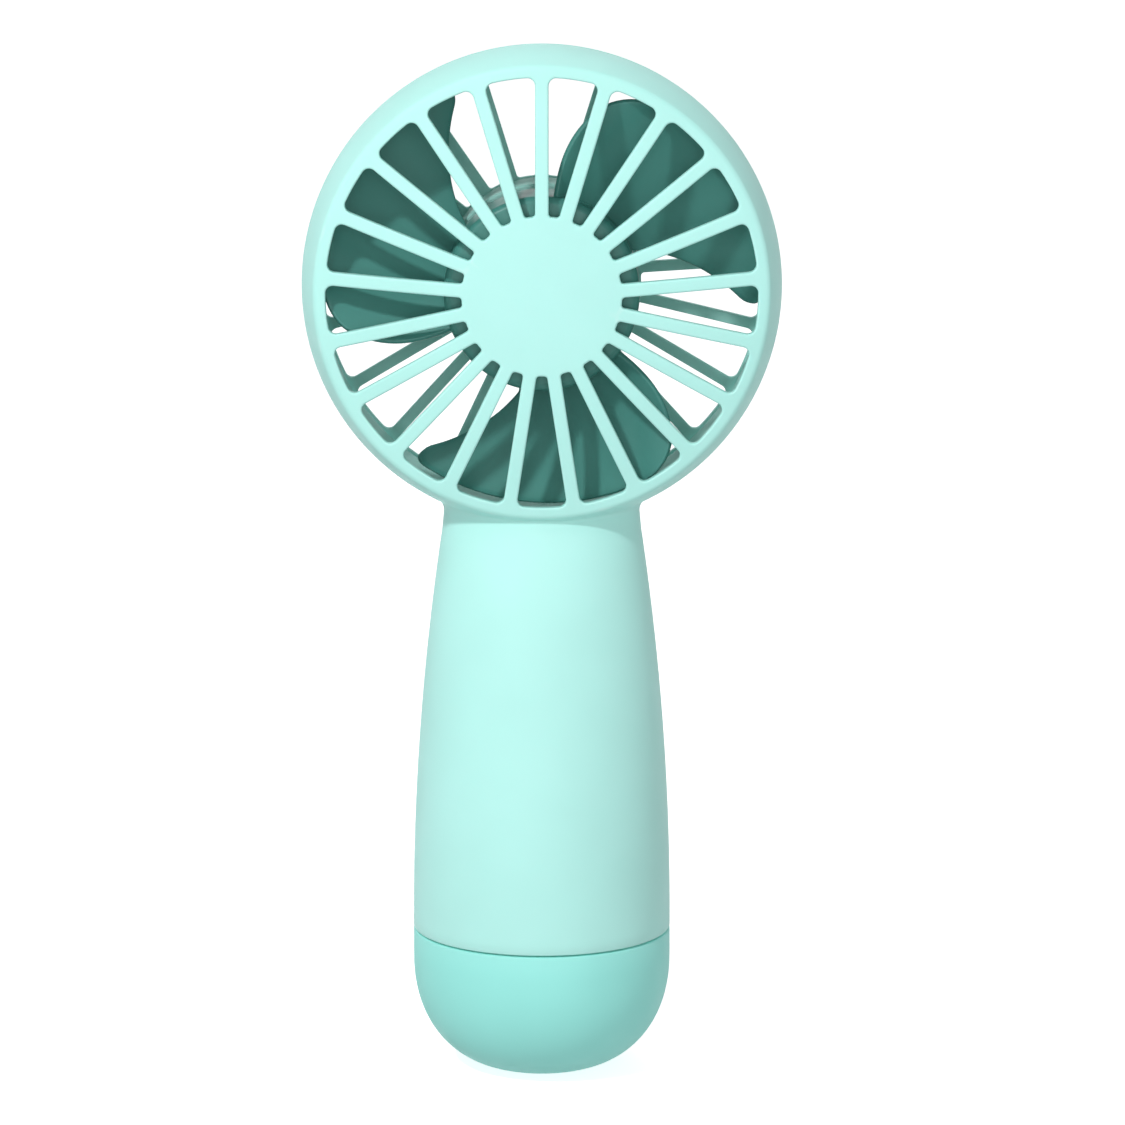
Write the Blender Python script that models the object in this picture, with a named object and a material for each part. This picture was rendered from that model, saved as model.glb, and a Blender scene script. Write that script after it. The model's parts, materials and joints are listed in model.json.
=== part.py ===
"""Handheld electric fan: a round fan head on a handle that widens downwards to a screw-on base cap.

Two moulded half shells hold an outrunner motor with a three-bladed impeller, and a battery cell with
its board, switch and charging port. The fan stands on its base cap: the origin is the middle of the
flat underneath, +Z is up and the front faces -Y. Sizes are in millimetres, and MM makes them metres.
"""

import math

import bmesh
import bpy
from mathutils import Matrix, Vector

MM = 0.001
GAP = 0.3  # clearance between pieces that touch
WELD = 1e-4
FULL_TURN = 2 * math.pi
RIGHT_ANGLE = math.pi / 2
CASING_SOLVER = "MANIFOLD"  # the casing's curved walls meet too closely for EXACT

# Whole fan
HEIGHT = 180.0
WALL = 1.8

# Head: a barrel about the fan axis, which runs along Y at HEAD_Z, with a domed grille at each end
HEAD_RADIUS = 41.4
HEAD_Z = HEIGHT - HEAD_RADIUS
FRONT_Y = -17.1
FRONT_DOME = 178.0
FRONT_CROWN = 32.0  # radius of the barrel's side, in front of the widest circle
REAR_Y = 16.1
REAR_DOME = 277.0
REAR_CROWN = 48.0
GRILLE_THICKNESS = 2.0
FRONT_RIM_Y = -12.2  # where the barrel's side ends and the rounded rim begins
REAR_RIM_Y = 12.2
FRONT_RIM_RADIUS = 38.0  # where the grille ends and the rounded rim begins
REAR_RIM_RADIUS = 38.9
FRONT_EDGE_RADIUS = 38.8  # where the side and the grille would meet if the rim were sharp
REAR_EDGE_RADIUS = 39.9
BARREL_ROWS_Y = (-5.5, 0.0, 6.0)
FACE_RINGS = (0, 12.0, 24.5)
HEAD_SEGMENTS = 48
RIM_STEPS = 3

# Grille: slots between straight spokes
SPOKES = 21
FRONT_SPOKE_WIDTH = 2.3
REAR_SPOKE_WIDTH = 1.9
FRONT_DISC_RADIUS = 13.6
FRONT_SLOT_END = 36.8
REAR_DISC_RADIUS = 17.4
REAR_SLOT_END = 38.4
SLOT_INNER_CORNER = 0.6
SLOT_OUTER_CORNER = 1.3
SLOT_CORNER_STEPS = 1

# Handle: an ellipse that is a circle at its widest and narrows by a parabola up to the neck
HANDLE_RADIUS = 22.57
WIDEST_Z = 26.0
NECK_Z = 98.0
NECK_HALF_WIDTH = 17.0
NECK_HALF_DEPTH = 11.6
SIDE_FILLET = 2.5
FRONT_FILLET = 0.4
HANDLE_SEGMENTS = 40
SPIGOT_SEGMENTS = 36
HANDLE_ROWS = 7
HOLLOW_ROWS = 5
FILLET_ROWS = 3
FILLET_TRIALS = 30
UNDERSIDE_FRONT_Y = -12.5  # the head's underside is taken as level in front of this
PLUG_HALF_WIDTH = 12.0  # the handle's blind end, inside the head's hollow
PLUG_HALF_DEPTH = 8.0
PLUG_Z = 104.0
NECK_FLOOR_Z = 96.0  # top of the hollow in the handle

# Base cap and the threaded spigot inside it
SEAM_Z = 25.0
FOOT_RADIUS = 5.0
CAP_ROUND_HEIGHT = 20.0
CAP_ROUNDNESS = 2.2  # exponent of the superellipse that leads from the side to the foot
CAP_ROWS = 6
CAP_FLOOR = 2.4
CAP_FLOOR_RADIUS = 9.8
CAP_INSIDE_CORNER = (16.4, 3.6)
CAP_BORE = 20.6
CAP_BORE_START_Z = 13.0
SPIGOT_RADIUS = 19.0
SPIGOT_BORE = 17.4
SPIGOT_BOTTOM_Z = 12.0
SPIGOT_OVERLAP = 1.0  # how far the spigot reaches up into the handle's wall
SHOULDER_Z = 27.0
THREAD_PITCH = 3.2
THREAD_TURNS = 0.75
THREAD_DEPTH = 1.2
THREAD_WIDTH = 1.3
THREAD_SINK = 0.5  # how far the ridge's root lies inside the wall
THREAD_START = math.radians(40)
THREAD_ROWS = 18
SPIGOT_THREAD_Z = 14.0
CAP_THREAD_Z = SPIGOT_THREAD_Z + THREAD_PITCH / 2
SEAL_Z = 22.3
SEAL_RADIUS = 19.55
SEAL_THICKNESS = 0.85
CONTACT_DISC_RADIUS = 10.2
CONTACT_DISC_THICKNESS = 0.8
CONTACT_RIM_HEIGHT = 1.5
CONTACT_DISC_Z = CAP_FLOOR + GAP
SPRING_TURNS = 4.5
SPRING_STEPS = 54
SPRING_WIRE = 0.4
SPRING_RADII = (8.0, 4.0)  # at the disc and at the cell
SPRING_CLOSED = 0.14  # share of the turns that lie closed at each end
SPRING_RISE = 1.1  # rise of the closed turns, in wire radii

# Impeller and motor, along the fan axis
HUB_RADIUS = 16.7
HUB_FRONT_Y = -13.0
HUB_REAR_Y = 0.5
HUB_WALL = 1.1
HUB_FRONT_WALL = 1.2
HUB_BOSS_RADIUS = 3.0
HUB_BOSS_END_Y = -9.1
BLADES = 3
BLADE_TIP = 38.0  # radius at the trailing edge
BLADE_TIP_LEAD = 37.2  # radius at the leading edge, where the duct is narrower
BLADE_FRONT_Y = -10.8
BLADE_REAR_Y = 2.2
BLADE_ROOT_REAR_Y = -0.3
BLADE_THICKNESS = 1.1
LEAD_ROOT_ANGLE = 82.5  # where the blade's leading edge meets the hub, in degrees from +X
LEAD_SWEEP = 18.4
LEAD_BEND = 2.2
TRAIL_ROOT_ANGLE = 21.5
TRAIL_SWEEP = 30.7
BLADE_SINK = 0.6  # how far the blade's root reaches into the hub
BLADE_CAMBER = 1.2
BLADE_CORNER = 4.2  # radius of the blade's two outer corners
BLADE_ROWS = 7
BLADE_COLUMNS = (0, 0.01, 0.03, 0.08, 0.25, 0.42, 0.58, 0.75, 0.92, 0.97, 0.99, 1)  # shares
HUB_SEGMENTS = 40
CAN_RADIUS = 15.2
CAN_FRONT_Y = -11.3
CAN_WALL = 0.8
CAN_CHAMFER = 0.6
MAGNET_THICKNESS = 1.5
MAGNET_FRONT_Y = -8.0
MAGNET_REAR_Y = -0.4
STATOR_RADIUS = 12.1
STATOR_FRONT_Y = -7.0
STATOR_REAR_Y = -1.5
TEETH = 6
STATOR_CORE_RADIUS = 6.6
TOOTH_HALF_WIDTH = 1.4
SHOE_THICKNESS = 1.3
SHOE_SHARE = 0.42  # half a shoe's spread, as a share of the pitch
COIL_REACH = (7.9, 10.4)  # radii between which a coil lies
COIL_WIDTH = 5.0
COIL_WRAP = 1.4  # how far a coil stands out in front of and behind its tooth
SHAFT_RADIUS = 1.0
SHAFT_FRONT_Y = -12.0
SHAFT_REAR_Y = 6.8
CLIP_RADIUS = 2.1
CLIP_THICKNESS = 0.5
BEARING_RADIUS = 3.0
BEARING_WIDTH = 2.5
TUBE_FRONT_Y = -8.5
TUBE_REAR_Y = 5.6
TUBE_RADIUS = 4.0
CUP_RADIUS = 17.4
CUP_FRONT_Y = 2.4
CUP_SINK = 0.6  # how far below the rear face the cup's wall ends
CUP_SEGMENTS = 39  # no common divisor with the head's, so their edges stay apart
MOTOR_BOARD_RADIUS = 10.5
MOTOR_BOARD_Y = 1.2
MOTOR_BASE_Y = 3.2
MOTOR_BASE_THICKNESS = 1.4
MOTOR_BASE_RADIUS = 15.0
MOTOR_POST_RADIUS = 2.2
MOTOR_PILOT_Y = (4.0, 12.0)
MOTOR_SCREW_CIRCLE = 12.5
MOTOR_SCREWS = 3

# Battery and electronics, inside the handle
CELL_RADIUS = 9.2
CELL_BOTTOM_Z = 13.5
CELL_LENGTH = 65.2
CELL_Y = -1.0
CELL_TOP_Z = CELL_BOTTOM_Z + CELL_LENGTH
CELL_CHAMFER = 0.6
CELL_CRIMP = 0.8
CELL_CAP_RADIUS = 3.2
CELL_CAP_HEIGHT = 0.9
CONTACT_THICKNESS = 0.4
CONTACT_WIDTH = 9.0
STRIP_WIDTH = 4.0
STRIP_ENDS_Z = (4.6, 37.6)
CARRIER_WIDTH = 21.8
CARRIER_DEPTH = 13.7
CARRIER_ENDS_Z = (15.0, 81.6)
CARRIER_ROUND = 1.5
CARRIER_PILOT_Y = 6.9
CARRIER_REAR_Y = 9.7
BOARD_Y = 10.0
BOARD_THICKNESS = 1.0
BOARD_REAR_Y = BOARD_Y + BOARD_THICKNESS
BOARD_BOTTOM_Z = 34.0
BOARD_TOP_Z = 82.0
BOARD_WIDTH = 16.0
BUTTON_Z = 66.0
BUTTON_RADIUS = 5.5
BUTTON_PROUD = 0.5
BUTTON_SEAT_Y = 16.6
BUTTON_FLANGE_RADIUS = BUTTON_RADIUS + 1.3
BUTTON_FLANGE_THICKNESS = 0.8
BUTTON_SEAT_RADIUS = BUTTON_FLANGE_RADIUS + 0.5
SWITCH_HEIGHT = 3.0
PLUNGER_RADIUS = 1.6
PLUNGER_TOP = 3.8  # above the board, and so is the height of the switch
LENS_Z = 79.0
LENS_RADIUS = 1.2
PORT_Z = 40.0
PORT_WIDTH = 8.94
PORT_HEIGHT = 3.26
PORT_MOUTH_Y = 20.9
PORT_WALL = 0.3
PORT_BACK = 0.8
PORT_TONGUE = (6.7, 0.7)

# Fasteners
CASE_SCREWS = ((15.0, 36.0), (12.6, 88.0))
CASE_SCREW_SEAT_Y = 4.0
CASE_BOSS_RADIUS = 3.2
CASE_PILOT_END_Y = -9.0
CASE_SCREW_LENGTH = 12.0
CASE_SCREW_HEAD_HEIGHT = 1.5
SCREW_RADIUS = 0.9
CROSS_SHARE = 1.3  # length of a screw's cross recess, in head radii
CROSS_WIDTH = 0.6
CROSS_DEPTH = 0.45
SCREW_HEAD_RADIUS = 1.8
BOARD_SCREW_X = 6.2
BOARD_SCREW_Z = 54.0
BOARD_SCREW_LENGTH = 3.8
MOTOR_SCREW_LENGTH = 8.0

# Wires from the control board, up through the neck and along two rear spokes to the motor
WIRE_RADIUS = 0.5
WIRE_SPOKES = (10, 11)
WIRE_HOLE_RADIUS = WIRE_RADIUS + 0.6
WIRE_END_RADIUS = 8.5  # where the wires reach the motor board
CUP_HOLE_Y = 12.4
CUP_HOLE_REACH = (14.5, 18.5)
NECK_WIRE_RADIUS = 38.0
NECK_WIRE_Y = 9.6
NECK_HOLE_Z = (90.0, 103.0)

# Cutters
INSIDE_Y = 12.0  # ends of the cutters through the handle's rear wall
OUTSIDE_Y = 30.0
PORT_CUT_Y = 18.0
HALF_SPACE = (120.0, 220.0, 80.0)  # width, height and depth of the block that trims off one shell
HALF_SPACE_Z = 90.0
FRONT_CUT_Y = (-24.0, -6.0)
REAR_CUT_Y = (8.0, 24.0)

MATERIALS = {  # colour (linear RGB), roughness, metallic
    "mint_plastic": ((0.42, 0.93, 0.83), 0.45, 0.0),
    "cap_plastic": ((0.30, 0.78, 0.68), 0.45, 0.0),
    "impeller_plastic": ((0.08, 0.26, 0.23), 0.35, 0.0),
    "steel": ((0.55, 0.56, 0.58), 0.3, 1.0),
    "brass": ((0.72, 0.52, 0.2), 0.35, 1.0),
    "copper_wire": ((0.65, 0.25, 0.1), 0.35, 1.0),
    "magnet": ((0.04, 0.04, 0.045), 0.6, 0.0),
    "seal_rubber": ((0.03, 0.03, 0.03), 0.8, 0.0),
    "board_green": ((0.02, 0.16, 0.07), 0.5, 0.0),
    "cell_wrap": ((0.02, 0.12, 0.4), 0.35, 0.0),
    "carrier_plastic": ((0.7, 0.7, 0.68), 0.5, 0.0),
    "dark_plastic": ((0.02, 0.02, 0.022), 0.5, 0.0),
    "lens": ((0.85, 0.9, 0.9), 0.15, 0.0),
    "red_wire": ((0.5, 0.02, 0.02), 0.5, 0.0),
    "black_wire": ((0.02, 0.02, 0.02), 0.5, 0.0),
}


# ---- Frames: how a flat outline is placed ----


def facing(x, z, y):
    """A point of an outline drawn on the fan's front, at depth y."""
    return Vector((x, y, z))


def plan(x, y, z):
    """A point of an outline seen from above, at height z."""
    return Vector((x, y, z))


def on_axis(x, z, y):
    """A point of an outline drawn about the fan axis, at depth y."""
    return Vector((x, y, z + HEAD_Z))


# ---- Building blocks ----


def clear_scene():
    for thing in list(bpy.data.objects):
        bpy.data.objects.remove(thing, do_unlink=True)


def material_named(name):
    found = bpy.data.materials.get(name)
    if found:
        return found
    colour, roughness, metallic = MATERIALS[name]
    made = bpy.data.materials.new(name)
    made.use_nodes = True
    shader = made.node_tree.nodes["Principled BSDF"]
    shader.inputs["Base Color"].default_value = (*colour, 1)
    shader.inputs["Roughness"].default_value = roughness
    shader.inputs["Metallic"].default_value = metallic
    return made


def solid(name, bm, material, origin=(0, 0, 0)):
    """The object made of a mesh in millimetres, with its own origin at a point of the fan's frame."""
    bmesh.ops.remove_doubles(bm, verts=bm.verts, dist=WELD)
    bmesh.ops.recalc_face_normals(bm, faces=bm.faces)
    bmesh.ops.translate(bm, verts=bm.verts, vec=-Vector(origin))
    bmesh.ops.scale(bm, verts=bm.verts, vec=(MM, MM, MM))
    mesh = bpy.data.meshes.new(name)
    bm.to_mesh(mesh)
    bm.free()
    mesh.materials.append(material_named(material))
    made = bpy.data.objects.new(name, mesh)
    made.location = Vector(origin) * MM
    bpy.context.scene.collection.objects.link(made)
    return smooth(made)


def smooth(made):
    made.data.shade_smooth()
    made.data.set_sharp_from_angle(angle=math.radians(35))
    return made


def baked(made):
    """The object with its modifiers applied."""
    bpy.context.view_layer.update()
    graph = bpy.context.evaluated_depsgraph_get()
    mesh = bpy.data.meshes.new_from_object(made.evaluated_get(graph))
    made.modifiers.clear()
    made.data = mesh
    return smooth(made)


def boolean(target, operation, tools, solver="EXACT"):
    """Joins, cuts or intersects the target with each tool, and removes the tools."""
    for tool in tools:
        modifier = target.modifiers.new(operation.lower(), "BOOLEAN")
        modifier.operation = operation
        modifier.object = tool
        modifier.solver = solver
    baked(target)
    for tool in tools:
        bpy.data.objects.remove(tool, do_unlink=True)
    return target


def join(target, *tools, solver="EXACT"):
    return boolean(target, "UNION", tools, solver)


def cut(target, *tools, solver="EXACT"):
    return boolean(target, "DIFFERENCE", tools, solver)


def turned(profile, segments, centre=(0, 0, 0), axis=(0, 0, 1)):
    """The mesh of a profile of (radius, height) points turned about an axis."""
    axis = Vector(axis)
    centre = Vector(centre)
    bm = bmesh.new()
    ring = [bm.verts.new(centre + Vector((r, 0, 0)) + axis * h) for r, h in profile]
    edges = [bm.edges.new(pair) for pair in zip(ring, ring[1:])]
    if profile[0][0] or profile[-1][0]:
        edges.append(bm.edges.new((ring[-1], ring[0])))
    bmesh.ops.spin(
        bm, geom=ring + edges, cent=centre, axis=axis, angle=FULL_TURN, steps=segments, use_merge=True
    )
    return bm


def turned_on_axis(profile, segments):
    """The mesh of a profile of (radius, depth) points turned about the fan axis."""
    return turned(profile, segments, (0, 0, HEAD_Z), (0, 1, 0))


def tube_profile(inner, outer, low, high):
    return [(outer, high), (outer, low), (inner, low), (inner, high)]


def prism(outline, low, high, place):
    """The mesh of a flat outline pushed from one depth to another."""
    bm = bmesh.new()
    face = bm.faces.new([bm.verts.new(place(x, y, low)) for x, y in outline])
    made = bmesh.ops.extrude_face_region(bm, geom=[face])
    moved = [v for v in made["geom"] if isinstance(v, bmesh.types.BMVert)]
    bmesh.ops.translate(bm, verts=moved, vec=place(0, 0, high) - place(0, 0, low))
    return bm


def rounded(corners, steps=3):
    """The outline through (x, y, radius) corners, with each corner turned into an arc."""
    points = []
    for index, (x, y, radius) in enumerate(corners):
        corner = Vector((x, y))
        if not radius:
            points.append((x, y))
            continue
        before = (Vector(corners[index - 1][:2]) - corner).normalized()
        after = (Vector(corners[(index + 1) % len(corners)][:2]) - corner).normalized()
        half = before.angle(after) / 2
        centre = corner + (before + after).normalized() * radius / math.sin(half)
        start = corner + before * radius / math.tan(half) - centre
        end = corner + after * radius / math.tan(half) - centre
        sweep = math.atan2(start.x * end.y - start.y * end.x, start.dot(end))
        for step in range(steps + 1):
            turn = Matrix.Rotation(sweep * step / steps, 2)
            points.append(tuple(centre + turn @ start))
    return points


def rectangle(width, height, radius=0.0, centre=(0, 0), steps=3):
    x, y = centre
    corners = [(-1, -1), (1, -1), (1, 1), (-1, 1)]
    return rounded([(x + i * width / 2, y + j * height / 2, radius) for i, j in corners], steps)


def circle(radius, count, centre=(0, 0), start=0.0):
    angles = [start + FULL_TURN * k / count for k in range(count)]
    return [(centre[0] + radius * math.cos(a), centre[1] + radius * math.sin(a)) for a in angles]


def rod(name, radius, low, high, centre, place, material="steel", count=12):
    return solid(name, prism(circle(radius, count, centre), low, high, place), material)


def polar(radius, angle):
    return radius * math.cos(angle), radius * math.sin(angle)


# ---- Surfaces of the casing ----


def front_face(radius):
    return FRONT_Y + radius**2 / (2 * FRONT_DOME)


def rear_face(radius):
    return REAR_Y - radius**2 / (2 * REAR_DOME)


def barrel(y):
    """Radius of the head's side at a depth."""
    crown = FRONT_CROWN if y < 0 else REAR_CROWN
    return HEAD_RADIUS - y**2 / (2 * crown)


def curve_through(start, corner, end, steps):
    """A quadratic curve that leaves start towards corner and arrives at end from it."""
    points = []
    for step in range(1, steps):
        t = step / steps
        points.append(
            tuple(
                (1 - t) ** 2 * a + 2 * t * (1 - t) * b + t**2 * c
                for a, b, c in zip(start, corner, end)
            )
        )
    return points


def head_profile(inset=0.0, face_inset=0.0):
    """The head's outline as (radius, depth) points, from the front centre round to the rear centre."""
    front_face_at = [(r, front_face(r) + face_inset) for r in FACE_RINGS]
    rear_face_at = [(r, rear_face(r) - face_inset) for r in reversed(FACE_RINGS)]
    front_rim = (FRONT_RIM_RADIUS - inset, front_face(FRONT_RIM_RADIUS) + face_inset)
    front_edge = (FRONT_EDGE_RADIUS - inset, front_face(FRONT_EDGE_RADIUS) + face_inset)
    front_side = (barrel(FRONT_RIM_Y + face_inset) - inset, FRONT_RIM_Y + face_inset)
    side = [(barrel(y) - inset, y) for y in BARREL_ROWS_Y]
    rear_side = (barrel(REAR_RIM_Y - face_inset) - inset, REAR_RIM_Y - face_inset)
    rear_edge = (REAR_EDGE_RADIUS - inset, rear_face(REAR_EDGE_RADIUS) - face_inset)
    rear_rim = (REAR_RIM_RADIUS - inset, rear_face(REAR_RIM_RADIUS) - face_inset)
    front_round = curve_through(front_rim, front_edge, front_side, RIM_STEPS)
    rear_round = curve_through(rear_side, rear_edge, rear_rim, RIM_STEPS)
    front = [*front_face_at, front_rim, *front_round, front_side]
    return [*front, *side, rear_side, *rear_round, rear_rim, *rear_face_at]


def head_underside(x, y):
    """Height of the head's outer surface under the fan axis."""
    return HEAD_Z - math.sqrt(barrel(max(y, UNDERSIDE_FRONT_Y)) ** 2 - x**2)


def handle_half_sizes(z, offset=0.0):
    """Half the handle's width and depth at a height."""
    climb = max(0.0, z - WIDEST_Z) ** 2 / (NECK_Z - WIDEST_Z) ** 2
    width = HANDLE_RADIUS - (HANDLE_RADIUS - NECK_HALF_WIDTH) * climb
    depth = HANDLE_RADIUS - (HANDLE_RADIUS - NECK_HALF_DEPTH) * climb
    return width + offset, depth + offset


HANDLE_ANGLES = [FULL_TURN * k / HANDLE_SEGMENTS for k in range(HANDLE_SEGMENTS)]


def ellipse(width, depth, z):
    return [Vector((width * math.cos(a), depth * math.sin(a), z)) for a in HANDLE_ANGLES]


def handle_ring(z, offset=0.0):
    return ellipse(*handle_half_sizes(z, offset), z)


def neck_fillet(angle):
    """Points of the arc that leads the neck's side into the head's underside, in one direction."""
    width, depth = handle_half_sizes(NECK_Z)
    radius = FRONT_FILLET + (SIDE_FILLET - FRONT_FILLET) * math.cos(angle) ** 2
    tries = []
    for trial in range(FILLET_TRIALS + 1):
        bend = RIGHT_ANGLE * trial / FILLET_TRIALS
        out = radius * (1 - math.cos(bend))
        x = (width + out) * math.cos(angle)
        y = (depth + out) * math.sin(angle)
        tries.append((head_underside(x, y) - radius * math.sin(bend), bend))
    start, last = min(tries)
    points = []
    for row in range(FILLET_ROWS + 1):
        bend = last * row / FILLET_ROWS
        out = radius * (1 - math.cos(bend))
        x = (width + out) * math.cos(angle)
        y = (depth + out) * math.sin(angle)
        points.append(Vector((x, y, start + radius * math.sin(bend))))
    return points


def loft(rings):
    """The closed mesh through rings of equally many points, with flat ends."""
    bm = bmesh.new()
    made = [[bm.verts.new(p) for p in ring] for ring in rings]
    count = len(rings[0])
    for low, high in zip(made, made[1:]):
        for k in range(count):
            bm.faces.new((low[k], low[(k + 1) % count], high[(k + 1) % count], high[k]))
    bm.faces.new(made[0])
    bm.faces.new(made[-1])
    return bm


def handle_levels(low, high, rows):
    return [low + (high - low) * k / rows for k in range(rows + 1)]


def handle_outside(name, offset=0.0):
    """The handle's outer body, from the seam into the head's wall."""
    levels = handle_levels(SEAM_Z + GAP / 2, NECK_FLOOR_Z, HANDLE_ROWS)
    rings = [handle_ring(z, offset) for z in levels]
    fillets = [neck_fillet(a) for a in HANDLE_ANGLES]
    rings += [[fillet[row] for fillet in fillets] for row in range(FILLET_ROWS + 1)]
    rings.append(ellipse(PLUG_HALF_WIDTH, PLUG_HALF_DEPTH, PLUG_Z))
    return solid(name, loft(rings), "mint_plastic")


def handle_hollow():
    rings = [handle_ring(z, -WALL) for z in handle_levels(SHOULDER_Z, NECK_FLOOR_Z, HOLLOW_ROWS)]
    return solid("handle_hollow", loft(rings), "mint_plastic")


def thread_ridge(name, root_radius, outward, start_z):
    """A helical ridge that stands out of a round wall, with its root sunk a little into it."""
    sink = THREAD_SINK * outward
    tip = THREAD_DEPTH * outward
    half = THREAD_WIDTH / 2
    section = [(-sink, -half), (-sink, half), (tip, half / 2), (tip, -half / 2)]
    rings = []
    for row in range(THREAD_ROWS + 1):
        turn = THREAD_TURNS * row / THREAD_ROWS
        ring = []
        for out, up in section:
            x, y = polar(root_radius + out, THREAD_START + FULL_TURN * turn)
            ring.append(Vector((x, y, start_z + THREAD_PITCH * turn + up)))
        rings.append(ring)
    return solid(name, loft(rings), "mint_plastic")


def slot_outline(index, inner, outer, spoke_width):
    """One slot between two straight spokes, about the fan axis."""
    pitch = FULL_TURN / SPOKES
    middle = RIGHT_ANGLE + (index + 0.5) * pitch
    near, far = [pitch / 2 - math.asin(spoke_width / 2 / radius) for radius in (inner, outer)]
    corners = [
        (*polar(inner, middle + near), SLOT_INNER_CORNER),
        (*polar(inner, middle - near), SLOT_INNER_CORNER),
        (*polar(outer, middle - far), SLOT_OUTER_CORNER),
    ]
    corners += [(*polar(outer, middle), 0.0)]
    corners += [(*polar(outer, middle + far), SLOT_OUTER_CORNER)]
    return rounded(corners, SLOT_CORNER_STEPS)


def slots(name, inner, outer, spoke_width, ends):
    """All of a grille's slots as one cutter."""
    bm = bmesh.new()
    for index in range(SPOKES):
        one = prism(slot_outline(index, inner, outer, spoke_width), *ends, on_axis)
        holder = bpy.data.meshes.new("slot")
        one.to_mesh(holder)
        one.free()
        bm.from_mesh(holder)
        bpy.data.meshes.remove(holder)
    return solid(name, bm, "mint_plastic")


# ---- Casing ----


def outer_body():
    head = solid("head", turned_on_axis(head_profile(), HEAD_SEGMENTS), "mint_plastic")
    spigot = solid("spigot", turned(spigot_profile(), SPIGOT_SEGMENTS), "mint_plastic")
    thread = thread_ridge("thread", SPIGOT_RADIUS, 1, SPIGOT_THREAD_Z)
    return join(head, handle_outside("handle"), spigot, thread, solver=CASING_SOLVER)


def spigot_profile():
    """The spigot as a solid plug with the seal's groove round it."""
    reach = SEAL_THICKNESS + GAP
    groove_radius = SEAL_RADIUS - reach
    return [
        (0, SPIGOT_BOTTOM_Z),
        (SPIGOT_RADIUS, SPIGOT_BOTTOM_Z),
        (SPIGOT_RADIUS, SEAL_Z - reach),
        (groove_radius, SEAL_Z - reach),
        (groove_radius, SEAL_Z + reach),
        (SPIGOT_RADIUS, SEAL_Z + reach),
        (SPIGOT_RADIUS, SHOULDER_Z + SPIGOT_OVERLAP),
        (0, SHOULDER_Z + SPIGOT_OVERLAP),
    ]


def hollows():
    """What is taken out of the outer body: the duct, the handle's inside and the spigot's bore."""
    inside = turned_on_axis(head_profile(WALL, GRILLE_THICKNESS), HEAD_SEGMENTS)
    duct = solid("duct", inside, "mint_plastic")
    low, high = SPIGOT_BOTTOM_Z - 1, SHOULDER_Z + 2 * SPIGOT_OVERLAP
    bore = rod("bore", SPIGOT_BORE, low, high, (0, 0), plan, count=SPIGOT_SEGMENTS)
    return duct, handle_hollow(), bore


def case_bosses():
    """Four posts from front wall to rear wall, trimmed to the inside of the handle's outer face."""
    posts = []
    for x, z in CASE_SCREWS:
        for side in (-1, 1):
            outline = circle(CASE_BOSS_RADIUS, 12, (side * x, z))
            post = solid("post", prism(outline, -OUTSIDE_Y, OUTSIDE_Y, facing), "mint_plastic")
            posts.append(boolean(post, "INTERSECT", [handle_outside("trim", -WALL / 2)], CASING_SOLVER))
    return posts


def case_screw_holes():
    holes = []
    for x, z in CASE_SCREWS:
        for side in (-1, 1):
            centre = (side * x, z)
            pilot_end, seat = CASE_PILOT_END_Y, CASE_SCREW_SEAT_Y
            holes.append(rod("pilot", SCREW_RADIUS + GAP, pilot_end, seat + 1, centre, facing))
            holes.append(rod("counterbore", SCREW_HEAD_RADIUS + GAP, seat, OUTSIDE_Y, centre, facing))
    return holes


def motor_cup():
    """The cup behind the rear disc that holds the motor, with its three posts."""
    rear = rear_face(CUP_RADIUS) - CUP_SINK
    profile = tube_profile(HUB_RADIUS - HUB_WALL, CUP_RADIUS, CUP_FRONT_Y, rear)
    cup = solid("cup", turned_on_axis(profile, CUP_SEGMENTS), "mint_plastic")
    start = MOTOR_BASE_Y + MOTOR_BASE_THICKNESS + GAP
    posts = []
    for index in range(MOTOR_SCREWS):
        centre = polar(MOTOR_SCREW_CIRCLE, motor_screw_angle(index))
        post = rod("post", MOTOR_POST_RADIUS, start, REAR_Y - 1, centre, on_axis, count=10)
        posts.append(post)
    return cup, posts


def motor_screw_angle(index):
    return RIGHT_ANGLE + FULL_TURN * index / MOTOR_SCREWS


def motor_pilots():
    centres = [polar(MOTOR_SCREW_CIRCLE, motor_screw_angle(i)) for i in range(MOTOR_SCREWS)]
    return [rod("pilot", SCREW_RADIUS + GAP, *MOTOR_PILOT_Y, centre, on_axis) for centre in centres]


def wire_angle(spoke):
    return RIGHT_ANGLE + FULL_TURN * spoke / SPOKES


def neck_wire_x(angle):
    """How far aside a wire passes through the neck on its way to a spoke."""
    return polar(NECK_WIRE_RADIUS, angle)[0]


def wire_passages():
    """Holes that let the wires into the motor cup and down into the handle."""
    holes = []
    for spoke in WIRE_SPOKES:
        angle = wire_angle(spoke)
        down = Matrix.Rotation(RIGHT_ANGLE - angle, 3, "Y")
        bm = prism(circle(WIRE_HOLE_RADIUS, 10, (0, CUP_HOLE_Y)), *CUP_HOLE_REACH, plan)
        bmesh.ops.rotate(bm, verts=bm.verts, matrix=down)
        bmesh.ops.translate(bm, verts=bm.verts, vec=(0, 0, HEAD_Z))
        holes.append(solid("cup_hole", bm, "mint_plastic"))
        centre = (neck_wire_x(angle), NECK_WIRE_Y)
        holes.append(rod("neck_hole", WIRE_HOLE_RADIUS, *NECK_HOLE_Z, centre, plan, count=10))
    return holes


def port_opening():
    width, height = PORT_WIDTH + 2 * GAP, PORT_HEIGHT + 2 * GAP
    outline = rectangle(width, height, PORT_HEIGHT / 2, (0, PORT_Z))
    return solid("port_opening", prism(outline, PORT_CUT_Y, OUTSIDE_Y, facing), "mint_plastic")


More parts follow.
